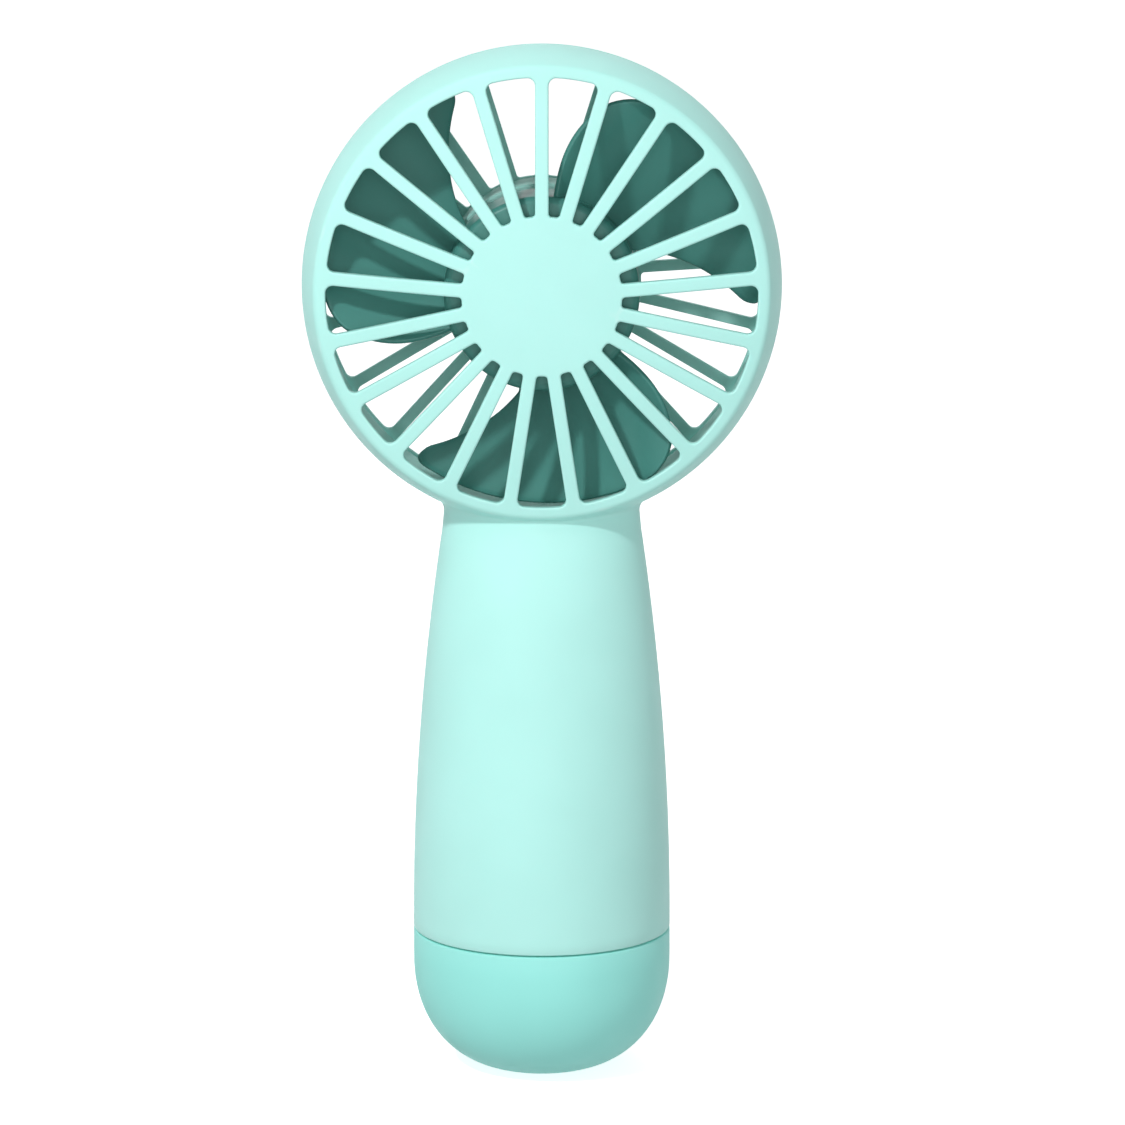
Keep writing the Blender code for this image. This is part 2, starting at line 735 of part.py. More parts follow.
def button_openings():
    place = (0, BUTTON_Z)
    hole = rod("button_hole", BUTTON_RADIUS + GAP, INSIDE_Y, OUTSIDE_Y, place, facing, count=28)
    seat = rod("button_seat", BUTTON_SEAT_RADIUS, INSIDE_Y, BUTTON_SEAT_Y, place, facing, count=28)
    lens = rod("lens_hole", LENS_RADIUS + GAP, INSIDE_Y, OUTSIDE_Y, (0, LENS_Z), facing, count=14)
    return [hole, seat, lens]


def half_space(name, front):
    """A block that covers everything behind the parting plane, or in front of it."""
    width, height, depth = HALF_SPACE
    low, high = (-depth, GAP / 2) if front else (-GAP / 2, depth)
    outline = rectangle(width, height, 0, (0, HALF_SPACE_Z))
    return solid(name, prism(outline, low, high, facing), "mint_plastic")


def build_shells():
    casing = cut(outer_body(), *hollows(), solver=CASING_SOLVER)
    cup, posts = motor_cup()
    join(casing, cup, *posts, *case_bosses(), solver=CASING_SOLVER)
    holes = case_screw_holes() + motor_pilots() + wire_passages()
    cut(casing, *holes, *button_openings(), port_opening(), solver=CASING_SOLVER)
    rear = bpy.data.objects.new("rear_shell", casing.data.copy())
    bpy.context.scene.collection.objects.link(rear)
    casing.name = "front_shell"
    front_sizes = (FRONT_DISC_RADIUS, FRONT_SLOT_END, FRONT_SPOKE_WIDTH, FRONT_CUT_Y)
    rear_sizes = (REAR_DISC_RADIUS, REAR_SLOT_END, REAR_SPOKE_WIDTH, REAR_CUT_Y)
    front_slots = slots("front_slots", *front_sizes)
    rear_slots = slots("rear_slots", *rear_sizes)
    cut(casing, half_space("behind", False), front_slots, solver=CASING_SOLVER)
    cut(rear, half_space("before", True), rear_slots, solver=CASING_SOLVER)


# ---- Base cap ----


def cap_profile():
    """The cap's section, from its floor's inside round the outside to the foot."""
    top = SEAM_Z - GAP / 2
    spread = HANDLE_RADIUS - FOOT_RADIUS
    floor_end = (CAP_FLOOR_RADIUS, CAP_FLOOR)
    bore_start = (CAP_BORE, CAP_BORE_START_Z)
    inside = [(0, CAP_FLOOR), floor_end]
    inside += curve_through(floor_end, CAP_INSIDE_CORNER, bore_start, 4)
    inside += [bore_start, (CAP_BORE, top)]
    outside = [(HANDLE_RADIUS, top)]
    for row in range(CAP_ROWS + 1):
        bend = RIGHT_ANGLE * row / CAP_ROWS
        inwards, down = [max(part, 0) ** (2 / CAP_ROUNDNESS) for part in polar(1, bend)]
        outside.append((FOOT_RADIUS + spread * inwards, CAP_ROUND_HEIGHT * (1 - down)))
    return inside + outside + [(0, 0)]


def contact_disc_profile():
    """A flat disc with an upright rim."""
    low, wall = CONTACT_DISC_Z, CONTACT_DISC_THICKNESS
    rim_top = low + CONTACT_RIM_HEIGHT
    return [
        (0, low),
        (CONTACT_DISC_RADIUS - wall, low),
        (CONTACT_DISC_RADIUS, low + GAP),
        (CONTACT_DISC_RADIUS, rim_top),
        (CONTACT_DISC_RADIUS - wall / 2, rim_top),
        (CONTACT_DISC_RADIUS - wall, low + wall),
        (0, low + wall),
    ]


def build_cap():
    cap = solid("base_cap", turned(cap_profile(), HANDLE_SEGMENTS), "cap_plastic")
    join(cap, thread_ridge("thread", CAP_BORE, -1, CAP_THREAD_Z))
    cap.name = "base_cap"
    ring = circle(SEAL_THICKNESS, 6, (SEAL_RADIUS, SEAL_Z))
    solid("seal_ring", turned(ring, 30), "seal_rubber")
    solid("contact_disc", turned(contact_disc_profile(), 24), "steel")
    contact_spring()


def contact_spring():
    """A conical spring between the contact disc and the bottom of the cell, with closed end coils."""
    low = CONTACT_DISC_Z + CONTACT_DISC_THICKNESS + GAP + SPRING_WIRE
    high = CELL_BOTTOM_Z - GAP - SPRING_WIRE
    rise = SPRING_RISE * SPRING_WIRE
    wide, narrow = SPRING_RADII
    points = []
    for step in range(SPRING_STEPS + 1):
        share = step / SPRING_STEPS
        closed_below = min(share / SPRING_CLOSED, 1)
        closed_above = max((share - 1 + SPRING_CLOSED) / SPRING_CLOSED, 0)
        open_share = min(max((share - SPRING_CLOSED) / (1 - 2 * SPRING_CLOSED), 0), 1)
        x, y = polar(wide + (narrow - wide) * share, FULL_TURN * SPRING_TURNS * share)
        climb = (closed_below + closed_above) * rise + (high - low - 2 * rise) * open_share
        points.append((x, y + CELL_Y * share, low + climb))
    wire_curve("contact_spring", points, SPRING_WIRE, "steel", 0)


def wire_curve(name, points, radius, material, resolution):
    curve = bpy.data.curves.new(name, "CURVE")
    curve.dimensions = "3D"
    curve.bevel_depth = radius * MM
    curve.bevel_resolution = resolution
    curve.use_fill_caps = True
    spline = curve.splines.new("POLY")
    spline.points.add(len(points) - 1)
    for target, point in zip(spline.points, points):
        target.co = (*(Vector(point) * MM), 1)
    curve.materials.append(material_named(material))
    made = bpy.data.objects.new(name, curve)
    bpy.context.scene.collection.objects.link(made)
    return made


# ---- Impeller ----


def blade_angles(share):
    """Leading and trailing edge angles of a blade, in radians, from root (0) to tip (1)."""
    lead = LEAD_ROOT_ANGLE - LEAD_SWEEP * max(share, 0) ** LEAD_BEND
    trail = TRAIL_ROOT_ANGLE - TRAIL_SWEEP * share
    return math.radians(lead), math.radians(trail)


def corner_drop(across):
    """How far a rounded outer corner lowers the blade's tip, at a share of the way across."""
    lead, trail = blade_angles(1)
    inwards = BLADE_CORNER - min(across, 1 - across) * (lead - trail) * BLADE_TIP
    if inwards <= 0:
        return 0
    return BLADE_CORNER - math.sqrt(BLADE_CORNER**2 - inwards**2)


def blade_point(share, across):
    """A point of a blade's middle surface: share is from root to tip, across from edge to edge."""
    root = HUB_RADIUS - BLADE_SINK
    tip = BLADE_TIP_LEAD + (BLADE_TIP - BLADE_TIP_LEAD) * across - corner_drop(across)
    radius = root + (tip - root) * share
    lead, trail = blade_angles((radius - HUB_RADIUS) / (BLADE_TIP - HUB_RADIUS))
    angle = lead + (trail - lead) * across
    rear = BLADE_ROOT_REAR_Y + (BLADE_REAR_Y - BLADE_ROOT_REAR_Y) * share
    camber = BLADE_CAMBER * math.sin(math.pi * across)
    x, z = polar(radius, angle)
    return Vector((x, BLADE_FRONT_Y + (rear - BLADE_FRONT_Y) * across + camber, z + HEAD_Z))


def blade_normal(middle, i, j):
    """The direction out of the middle surface at one of its points."""
    along = middle[min(i + 1, len(middle) - 1)][j] - middle[max(i - 1, 0)][j]
    across = middle[i][min(j + 1, len(middle[i]) - 1)] - middle[i][max(j - 1, 0)]
    return across.cross(along).normalized()


def blade(index):
    """One blade as a closed shell: the middle surface thickened both ways."""
    bm = bmesh.new()
    rows, columns = BLADE_ROWS - 1, len(BLADE_COLUMNS) - 1
    middle = [[blade_point(i / rows, across) for across in BLADE_COLUMNS] for i in range(rows + 1)]
    front = blade_side(bm, middle, -BLADE_THICKNESS / 2)
    back = blade_side(bm, middle, BLADE_THICKNESS / 2)
    for i in range(rows):
        for j in range(columns):
            for side in (front, back):
                bm.faces.new((side[i][j], side[i + 1][j], side[i + 1][j + 1], side[i][j + 1]))
    for j in range(columns):
        for i in (0, rows):
            bm.faces.new((front[i][j], front[i][j + 1], back[i][j + 1], back[i][j]))
    for i in range(rows):
        for j in (0, columns):
            bm.faces.new((front[i][j], front[i + 1][j], back[i + 1][j], back[i][j]))
    turn = Matrix.Rotation(-FULL_TURN * index / BLADES, 3, "Y")
    bmesh.ops.rotate(bm, verts=bm.verts, cent=(0, 0, HEAD_Z), matrix=turn)
    return solid("blade", bm, "impeller_plastic")


def blade_side(bm, middle, offset):
    """The rows of corners of the surface that lies a distance from the middle surface."""
    side = []
    for i, row in enumerate(middle):
        side.append([bm.verts.new(p + blade_normal(middle, i, j) * offset) for j, p in enumerate(row)])
    return side


def hub_profile():
    """The impeller's cup-shaped hub, with the boss that holds the shaft."""
    inner = HUB_RADIUS - HUB_WALL
    hole = SHAFT_RADIUS + GAP
    hole_end = SHAFT_FRONT_Y - GAP
    front_inside = HUB_FRONT_Y + HUB_FRONT_WALL
    return [
        (0, HUB_FRONT_Y),
        (HUB_RADIUS - 1.4, HUB_FRONT_Y),
        (HUB_RADIUS - 0.4, HUB_FRONT_Y + 0.4),
        (HUB_RADIUS, HUB_FRONT_Y + 1.4),
        (HUB_RADIUS, HUB_REAR_Y),
        (inner, HUB_REAR_Y),
        (inner, front_inside),
        (HUB_BOSS_RADIUS, front_inside),
        (HUB_BOSS_RADIUS, HUB_BOSS_END_Y),
        (hole, HUB_BOSS_END_Y),
        (hole, hole_end),
        (0, hole_end),
    ]


def build_impeller():
    hub = solid("impeller", turned_on_axis(hub_profile(), HUB_SEGMENTS), "impeller_plastic")
    join(hub, *[blade(index) for index in range(BLADES)])
    set_origin(hub, (0, 0, HEAD_Z))
    rotor_can()
    outer = CAN_RADIUS - CAN_WALL - GAP
    magnet = tube_profile(outer - MAGNET_THICKNESS, outer, MAGNET_FRONT_Y, MAGNET_REAR_Y)
    on_fan_axis("ring_magnet", magnet, 28, "magnet")
    ends = (SHAFT_FRONT_Y, SHAFT_REAR_Y)
    shaft = [(0, ends[0]), (SHAFT_RADIUS, ends[0]), (SHAFT_RADIUS, ends[1]), (0, ends[1])]
    on_fan_axis("motor_shaft", shaft, 14, "steel")
    clip_front = TUBE_REAR_Y + GAP
    clip = tube_profile(SHAFT_RADIUS + GAP, CLIP_RADIUS, clip_front, clip_front + CLIP_THICKNESS)
    on_fan_axis("shaft_clip", clip, 14, "steel")


def on_fan_axis(name, profile, segments, material):
    return solid(name, turned_on_axis(profile, segments), material, (0, 0, HEAD_Z))


def set_origin(made, origin):
    """Moves an object's own origin to a point of the fan's frame, and leaves its shape in place."""
    shift = Vector(origin) * MM
    made.data.transform(Matrix.Translation(-shift))
    made.location = shift


def rotor_can():
    inner = CAN_RADIUS - CAN_WALL
    hole = HUB_BOSS_RADIUS + GAP
    profile = [
        (hole, CAN_FRONT_Y),
        (CAN_RADIUS - CAN_CHAMFER, CAN_FRONT_Y),
        (CAN_RADIUS, CAN_FRONT_Y + CAN_CHAMFER),
        (CAN_RADIUS, 0),
        (inner, 0),
        (inner, CAN_FRONT_Y + CAN_WALL),
        (hole, CAN_FRONT_Y + CAN_WALL),
    ]
    on_fan_axis("rotor_can", profile, 28, "steel")


# ---- Motor parts that stay still ----


def stator_outline():
    """The lamination: a ring with T-shaped teeth."""
    foot = STATOR_RADIUS - SHOE_THICKNESS
    root = math.asin(TOOTH_HALF_WIDTH / STATOR_CORE_RADIUS)
    neck_radius, neck = math.hypot(foot, TOOTH_HALF_WIDTH), math.atan2(TOOTH_HALF_WIDTH, foot)
    pitch = FULL_TURN / TEETH
    spread = pitch * SHOE_SHARE
    points = []
    for tooth in range(TEETH):
        middle = pitch * tooth
        points.append(polar(STATOR_CORE_RADIUS, middle - root))
        points.append(polar(neck_radius, middle - neck))
        points.append(polar(foot, middle - spread))
        points += [polar(STATOR_RADIUS, middle + spread * share) for share in (-1, -0.5, 0, 0.5, 1)]
        points.append(polar(foot, middle + spread))
        points.append(polar(neck_radius, middle + neck))
        points.append(polar(STATOR_CORE_RADIUS, middle + root))
        points.append(polar(STATOR_CORE_RADIUS, middle + pitch / 2))
    return points


def build_stator():
    laminations = prism(stator_outline(), STATOR_FRONT_Y, STATOR_REAR_Y, on_axis)
    core = solid("stator_core", laminations, "steel")
    cut(core, rod("bore", TUBE_RADIUS + GAP, -10, 2, (0, 0), on_axis, count=18))
    for tooth in range(TEETH):
        coil(tooth)


def coil(tooth):
    """A winding round one tooth: a block with the tooth's neck passing through it."""
    length = STATOR_REAR_Y - STATOR_FRONT_Y
    middle = (0, (STATOR_FRONT_Y + STATOR_REAR_Y) / 2)
    near, far = COIL_REACH
    outline = rectangle(COIL_WIDTH, length + 2 * COIL_WRAP, 1.0, middle)
    block = solid("block", prism(outline, near, far, coil_frame), "copper_wire")
    hollow = rectangle(2 * (TOOTH_HALF_WIDTH + GAP), length + 2 * GAP, 0, middle)
    cut(block, solid("hollow", prism(hollow, near - 1, far + 1, coil_frame), "copper_wire"))
    turn = Matrix.Rotation(-FULL_TURN * tooth / TEETH, 4, "Y")
    lift = Matrix.Translation((0, 0, HEAD_Z * MM))
    block.data.transform(lift @ turn)
    block.name = f"stator_coil_{tooth + 1}"


def coil_frame(across, y, out):
    """A point of the winding of the tooth that lies along +X."""
    return Vector((out, y, across))


def build_motor_mount():
    tube = tube_profile(BEARING_RADIUS + GAP, TUBE_RADIUS, TUBE_FRONT_Y, TUBE_REAR_Y)
    on_fan_axis("bearing_tube", tube, 24, "brass")
    front, rear = TUBE_FRONT_Y + GAP, TUBE_REAR_Y - GAP - BEARING_WIDTH
    for name, start in (("front_bearing", front), ("rear_bearing", rear)):
        profile = tube_profile(SHAFT_RADIUS + GAP, BEARING_RADIUS, start, start + BEARING_WIDTH)
        on_fan_axis(name, profile, 16, "steel")
    motor_board()
    motor_base()
    for index in range(MOTOR_SCREWS):
        centre = polar(MOTOR_SCREW_CIRCLE, motor_screw_angle(index))
        name = f"motor_screw_{index + 1}"
        screw(name, centre, MOTOR_BASE_Y - GAP, -1, MOTOR_SCREW_LENGTH, on_axis)


def tube_hole():
    """A cutter that lets the bearing tube through a disc."""
    return rod("tube_hole", TUBE_RADIUS + GAP, 0, 8, (0, 0), on_axis, count=18)


def motor_board():
    ends = (MOTOR_BOARD_Y, MOTOR_BOARD_Y + BOARD_THICKNESS)
    board = rod("motor_board", MOTOR_BOARD_RADIUS, *ends, (0, 0), on_axis, "board_green", 32)
    cut(board, tube_hole())


def motor_base():
    ends = (MOTOR_BASE_Y, MOTOR_BASE_Y + MOTOR_BASE_THICKNESS)
    base = rod("motor_base", MOTOR_BASE_RADIUS, *ends, (0, 0), on_axis, "steel", 28)
    holes = [tube_hole()]
    for index in range(MOTOR_SCREWS):
        centre = polar(MOTOR_SCREW_CIRCLE, motor_screw_angle(index))
        holes.append(rod("hole", SCREW_RADIUS + GAP, 0, 8, centre, on_axis, count=10))
    for spoke in WIRE_SPOKES:
        centre = polar(WIRE_END_RADIUS, wire_angle(spoke))
        holes.append(rod("hole", WIRE_HOLE_RADIUS, 0, 8, centre, on_axis, count=10))
    cut(base, *holes)


def screw(name, centre, seat, head_side, length, place, head_radius=1.6, head_height=0.9):
    """A pan-head screw whose head rests on the seat and whose shank runs the other way."""
    shank_ends = sorted((seat - head_side * length, seat + head_side * 0.2))
    head_ends = sorted((seat, seat + head_side * head_height))
    head = rod(name, head_radius, *head_ends, centre, place)
    join(head, rod("shank", SCREW_RADIUS, *shank_ends, centre, place, count=8))
    top = seat + head_side * head_height
    cross_ends = sorted((top - head_side * CROSS_DEPTH, top + head_side))
    long, wide = head_radius * CROSS_SHARE, CROSS_WIDTH
    shapes = (rectangle(long, wide, 0, centre), rectangle(wide, long, 0, centre))
    return cut(head, *[solid("cross", prism(shape, *cross_ends, place), "steel") for shape in shapes])


def build_case_screws():
    number = 1
    for x, z in CASE_SCREWS:
        for side in (-1, 1):
            name, seat = f"shell_screw_{number}", CASE_SCREW_SEAT_Y + GAP
            head = (SCREW_HEAD_RADIUS, CASE_SCREW_HEAD_HEIGHT)
            screw(name, (side * x, z), seat, 1, CASE_SCREW_LENGTH, facing, *head)
            number += 1


# ---- Battery and electronics ----


def build_battery():
    shoulder = CELL_TOP_Z - CELL_CAP_HEIGHT
    profile = [
        (0, CELL_BOTTOM_Z),
        (CELL_RADIUS - CELL_CHAMFER, CELL_BOTTOM_Z),
        (CELL_RADIUS, CELL_BOTTOM_Z + CELL_CHAMFER),
        (CELL_RADIUS, shoulder - CELL_CRIMP),
        (CELL_RADIUS - CELL_CRIMP, shoulder),
        (CELL_CAP_RADIUS, shoulder),
        (CELL_CAP_RADIUS, CELL_TOP_Z),
        (0, CELL_TOP_Z),
    ]
    solid("battery_cell", turned(profile, 32, (0, CELL_Y, 0)), "cell_wrap")
    plate = rectangle(CONTACT_WIDTH, CONTACT_WIDTH, 1.0, (0, CELL_Y))
    low = CELL_TOP_Z + GAP
    solid("positive_contact", prism(plate, low, low + CONTACT_THICKNESS, plan), "brass")
    carrier()
    strip_y = BOARD_REAR_Y + GAP + CONTACT_THICKNESS / 2
    strip = rectangle(STRIP_WIDTH, CONTACT_THICKNESS, 0, (0, strip_y))
    solid("negative_strip", prism(strip, *STRIP_ENDS_Z, plan), "brass")


def carrier():
    """The cradle round the rear of the cell, closed at its top."""
    middle = (0, CARRIER_REAR_Y - CARRIER_DEPTH / 2)
    outline = rectangle(CARRIER_WIDTH, CARRIER_DEPTH, CARRIER_ROUND, middle)
    body = solid("battery_carrier", prism(outline, *CARRIER_ENDS_Z, plan), "carrier_plastic")
    bore = rod("bore", CELL_RADIUS + GAP, 10, CELL_TOP_Z + 1, (0, CELL_Y), plan, count=32)
    pilots = []
    for place in board_screw_places():
        pilots.append(rod("pilot", SCREW_RADIUS + GAP, CARRIER_PILOT_Y, 12, place, facing, count=10))
    cut(body, bore, *pilots)


def board_screw_places():
    return [(side * BOARD_SCREW_X, BOARD_SCREW_Z) for side in (-1, 1)]


def build_board():
    height = BOARD_TOP_Z - BOARD_BOTTOM_Z
    outline = rectangle(BOARD_WIDTH, height, 1.0, (0, (BOARD_TOP_Z + BOARD_BOTTOM_Z) / 2))
    board = solid("control_board", prism(outline, BOARD_Y, BOARD_REAR_Y, facing), "board_green")
    places = board_screw_places()
    cut(board, *[rod("hole", SCREW_RADIUS + GAP, 8, 14, p, facing, count=12) for p in places])
    for number, place in enumerate(places, 1):
        name = f"board_screw_{number}"
        screw(name, place, BOARD_REAR_Y + GAP, 1, BOARD_SCREW_LENGTH, facing, 1.5)
    usb_port()
    button_and_switch()
    lamp()


def port_outline(inset):
    """The charging port's rounded outline, a distance inside its outer face."""
    width, height = PORT_WIDTH - 2 * inset, PORT_HEIGHT - 2 * inset
    return rectangle(width, height, height / 2 - 0.02, (0, PORT_Z), 4)


def usb_port():
    start = BOARD_REAR_Y + GAP
    inside_start = start + PORT_BACK
    shell = solid("usb_shell", prism(port_outline(0), start, PORT_MOUTH_Y, facing), "steel")
    inside = prism(port_outline(PORT_WALL), inside_start, PORT_MOUTH_Y + 2, facing)
    cut(shell, solid("inside", inside, "steel"))
    tongue = rectangle(*PORT_TONGUE, 0.2, (0, PORT_Z), 1)
    ends = (inside_start + GAP, PORT_MOUTH_Y - 1)
    solid("usb_tongue", prism(tongue, *ends, facing), "dark_plastic")


def button_and_switch():
    start = BOARD_REAR_Y + GAP
    top = start + SWITCH_HEIGHT
    place = (0, BUTTON_Z)
    body = prism(rectangle(6.0, 6.0, 0.5, place), start, top, facing)
    body = solid("switch_body", body, "dark_plastic")
    cut(body, rod("well", PLUNGER_RADIUS + GAP, start + 1.6, top + 1, place, facing, count=14))
    plunger_ends = (top - GAP, start + PLUNGER_TOP)
    plunger = rod("switch_plunger", PLUNGER_RADIUS, *plunger_ends, place, facing, "dark_plastic", 14)
    set_origin(plunger, (0, top, BUTTON_Z))
    set_origin(power_button(place), (0, top, BUTTON_Z))


def power_button(place):
    """The button: a face that follows the handle, a flange that holds it in, and a post behind."""
    flange_rear = BUTTON_SEAT_Y - GAP
    flange_front = flange_rear - BUTTON_FLANGE_THICKNESS
    face_front = flange_front + GAP + 0.1
    face = rod("power_button", BUTTON_RADIUS, INSIDE_Y, OUTSIDE_Y, place, facing, count=28)
    face.data.materials[0] = material_named("mint_plastic")
    boolean(face, "INTERSECT", [handle_outside("trim", BUTTON_PROUD)], CASING_SOLVER)
    inside = rod("inside", BUTTON_SEAT_RADIUS, INSIDE_Y - 1, face_front, place, facing, count=28)
    cut(face, inside, solver=CASING_SOLVER)
    flange = rod("flange", BUTTON_FLANGE_RADIUS, flange_front, flange_rear, place, facing, count=28)
    post_front = BOARD_REAR_Y + GAP + PLUNGER_TOP + GAP
    post = rod("post", PLUNGER_RADIUS, post_front, face_front, place, facing, count=14)
    return join(face, flange, post, solver=CASING_SOLVER)


def lamp():
    start = BOARD_REAR_Y + GAP
    led_top = start + 0.6
    led = prism(rectangle(1.6, 1.0, 0, (0, LENS_Z)), start, led_top, facing)
    solid("indicator_led", led, "lens")
    ends = (led_top + GAP, OUTSIDE_Y)
    lens = rod("indicator_lens", LENS_RADIUS, *ends, (0, LENS_Z), facing, "lens", 14)
    boolean(lens, "INTERSECT", [handle_outside("trim")])


def smooth_path(points, steps):
    """A Catmull-Rom curve through the points."""
    first, last = [Vector(points[i]) for i in (0, -1)]
    spread = [2 * first - Vector(points[1])]
    spread += [Vector(p) for p in points]
    spread += [2 * last - Vector(points[-2])]
    path = []
    for a, b, c, d in zip(spread, spread[1:], spread[2:], spread[3:]):
        straight, bend, twist = c - a, 2 * a - 5 * b + 4 * c - d, 3 * b - a - 3 * c + d
        for step in range(steps):
            t = step / steps
            path.append((2 * b + straight * t + bend * t**2 + twist * t**3) / 2)
    return path + [last]


def wire_route(angle):
    """The points a motor wire passes through, from the control board to the motor board."""
    side = math.copysign(1, math.cos(angle))
    neck_x = neck_wire_x(angle)
    points = [
        (side * 3.0, BOARD_Y + 2.0, BOARD_TOP_Z - 2.0),
        (side * 3.2, BOARD_Y + 1.8, BOARD_TOP_Z + 4.0),
        (neck_x, NECK_WIRE_Y, 92.0),
        (neck_x, NECK_WIRE_Y, 99.0),
    ]
    along_spoke = [(35.0, 10.6), (27.0, 12.0), (19.0, 12.5), (14.0, 12.2), (9.0, 9.0)]
    along_spoke += [(WIRE_END_RADIUS, 5.5), (WIRE_END_RADIUS, MOTOR_BOARD_Y + BOARD_THICKNESS + GAP)]
    for radius, y in along_spoke:
        x, z = polar(radius, angle)
        points.append((x, y, z + HEAD_Z))
    return points


def build_wires():
    names = (("motor_wire_red", "red_wire"), ("motor_wire_black", "black_wire"))
    for (name, material), spoke in zip(names, WIRE_SPOKES):
        route = smooth_path(wire_route(wire_angle(spoke)), 2)
        wire_curve(name, route, WIRE_RADIUS, material, 1)


def main():
    clear_scene()
    build_shells()
    build_cap()
    build_impeller()
    build_stator()
    build_motor_mount()
    build_case_screws()
    build_battery()
    build_board()
    build_wires()


main()
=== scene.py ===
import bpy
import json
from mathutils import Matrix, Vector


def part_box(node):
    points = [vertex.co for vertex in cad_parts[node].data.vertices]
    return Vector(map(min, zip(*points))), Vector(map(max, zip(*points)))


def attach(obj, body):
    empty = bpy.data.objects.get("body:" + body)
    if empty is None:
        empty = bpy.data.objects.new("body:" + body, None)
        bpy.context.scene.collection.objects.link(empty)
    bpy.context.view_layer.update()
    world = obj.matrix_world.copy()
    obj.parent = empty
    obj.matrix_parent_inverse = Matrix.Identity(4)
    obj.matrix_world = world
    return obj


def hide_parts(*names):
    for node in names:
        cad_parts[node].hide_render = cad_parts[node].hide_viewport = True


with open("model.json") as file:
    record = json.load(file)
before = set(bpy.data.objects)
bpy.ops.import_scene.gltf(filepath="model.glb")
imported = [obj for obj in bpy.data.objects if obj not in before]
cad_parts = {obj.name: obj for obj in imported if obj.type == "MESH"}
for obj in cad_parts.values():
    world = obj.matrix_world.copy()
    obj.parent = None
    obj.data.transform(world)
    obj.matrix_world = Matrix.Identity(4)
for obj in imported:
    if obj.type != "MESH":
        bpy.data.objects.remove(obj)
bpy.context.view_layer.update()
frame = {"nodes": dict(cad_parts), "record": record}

# Handheld electric fan. The casing, base cap, impeller and the small pieces of its rear are modelled
# here at full detail, on the places and sizes of the CAD nodes that they replace. Every other node
# keeps its CAD shape and gets a finished material. Sizes are in millimetres, and MM makes them metres.

import json
import math

import bmesh
import bpy
from mathutils import Matrix, Vector

MM = 0.001
WELD = 1e-4  # millimetres within which points are one
SLIVER = 5e-6  # the same for finished meshes, in metres
SHARP_ANGLE = math.radians(38)
FULL_TURN = 2 * math.pi
RIGHT_ANGLE = math.pi / 2
UP = math.pi / 2  # angle of +Z about the fan axis


def node_box(node):
    """A CAD node's lowest and highest corners, in millimetres."""
    low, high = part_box(node)
    return low / MM, high / MM


def box_middle(node):
    low, high = node_box(node)
    return (low + high) / 2


# ---- Sizes, in millimetres ----

GAP = 0.3  # clearance between parts
HEIGHT = node_box("front_shell")[1].z
HEAD_Z = box_middle("motor_shaft").z
WALL = 1.8

# Head: a barrel about the fan axis, with a domed grille at each end
HEAD_RADIUS = HEIGHT - HEAD_Z
FRONT_Y = -17.1
FRONT_DOME = 178.0
FRONT_CROWN = 32.0
REAR_Y = 16.1
REAR_DOME = 277.0
REAR_CROWN = 48.0
GRILLE_THICKNESS = 2.0
FRONT_RIM = (38.0, -12.2)  # radius where the grille's rounded rim begins, and depth where it ends
REAR_RIM = (38.9, 12.2)
FRONT_EDGE_RADIUS = 38.8  # the rim's curve is drawn towards a corner of this radius
REAR_EDGE_RADIUS = 39.9
RIM_STEPS = 8
BARREL_STEP = 1.1
DUCT_ENDS_Y = (-9.6, 9.8)
UNDERSIDE_FRONT_Y = -12.5  # the head's underside is taken as level in front of this

# Grille
SPOKES = 21
FRONT_SLOT = (13.6, 36.8, 2.3)  # inner and outer radius of the slots, and width of the spokes
REAR_SLOT = (17.4, 38.4, 1.9)
FRONT_FACE_START = 12.9  # radius inside which the disc is plain
REAR_FACE_START = 16.7
SLOT_CORNERS = (0.6, 1.3)  # at the slot's inner and outer end
OUTER_ROUND = 0.35  # rounding of the slots' edges outside and inside
INNER_ROUND = 0.2
HOLD = 0.05  # flat margin beside a rounding, which keeps its shading crisp
ARC_STEPS, CORNER_STEPS, SIDE_STEPS, INNER_STEPS = 3, 6, 8, 1
OUTER_ROUND_STEPS = 4
INNER_ROUND_STEPS = 3
DISC_RINGS = 6

# Handle
HANDLE_RADIUS = 22.57
WIDEST_Z = 26.0
NECK_Z = 98.0
NECK_HALF_WIDTH = 17.0
NECK_HALF_DEPTH = 11.6
SIDE_FILLET = 2.5
FRONT_FILLET = 0.4
HANDLE_SEGMENTS = 120
HANDLE_STEP = 1.8
HOLLOW_STEP = 6.0
FILLET_ROWS = 8
FILLET_MARGIN = 2.0  # height under the neck's top in which only the fillet's rows lie
BURIED_SHARES = (0.95, 0.75, 0.5, 0.25, 0.02)  # rows of the handle's end, inside the head's wall
NECK_FLOOR_Z = 96.0
SEAM_Z = 25.0
SEAM_ROUND = 0.25
CAP_TOP = SEAM_Z - GAP / 2

# Seam between the two shells: a shallow groove, under which a lip closes the joint
SEAM_DEPTH = 0.7
SEAM_GAP = 0.01
SEAM_SEGMENTS = 131
SLAB_WIDTH = 120.0
SLAB_MARGIN = 20.0
SLAB_DEPTH = 80.0

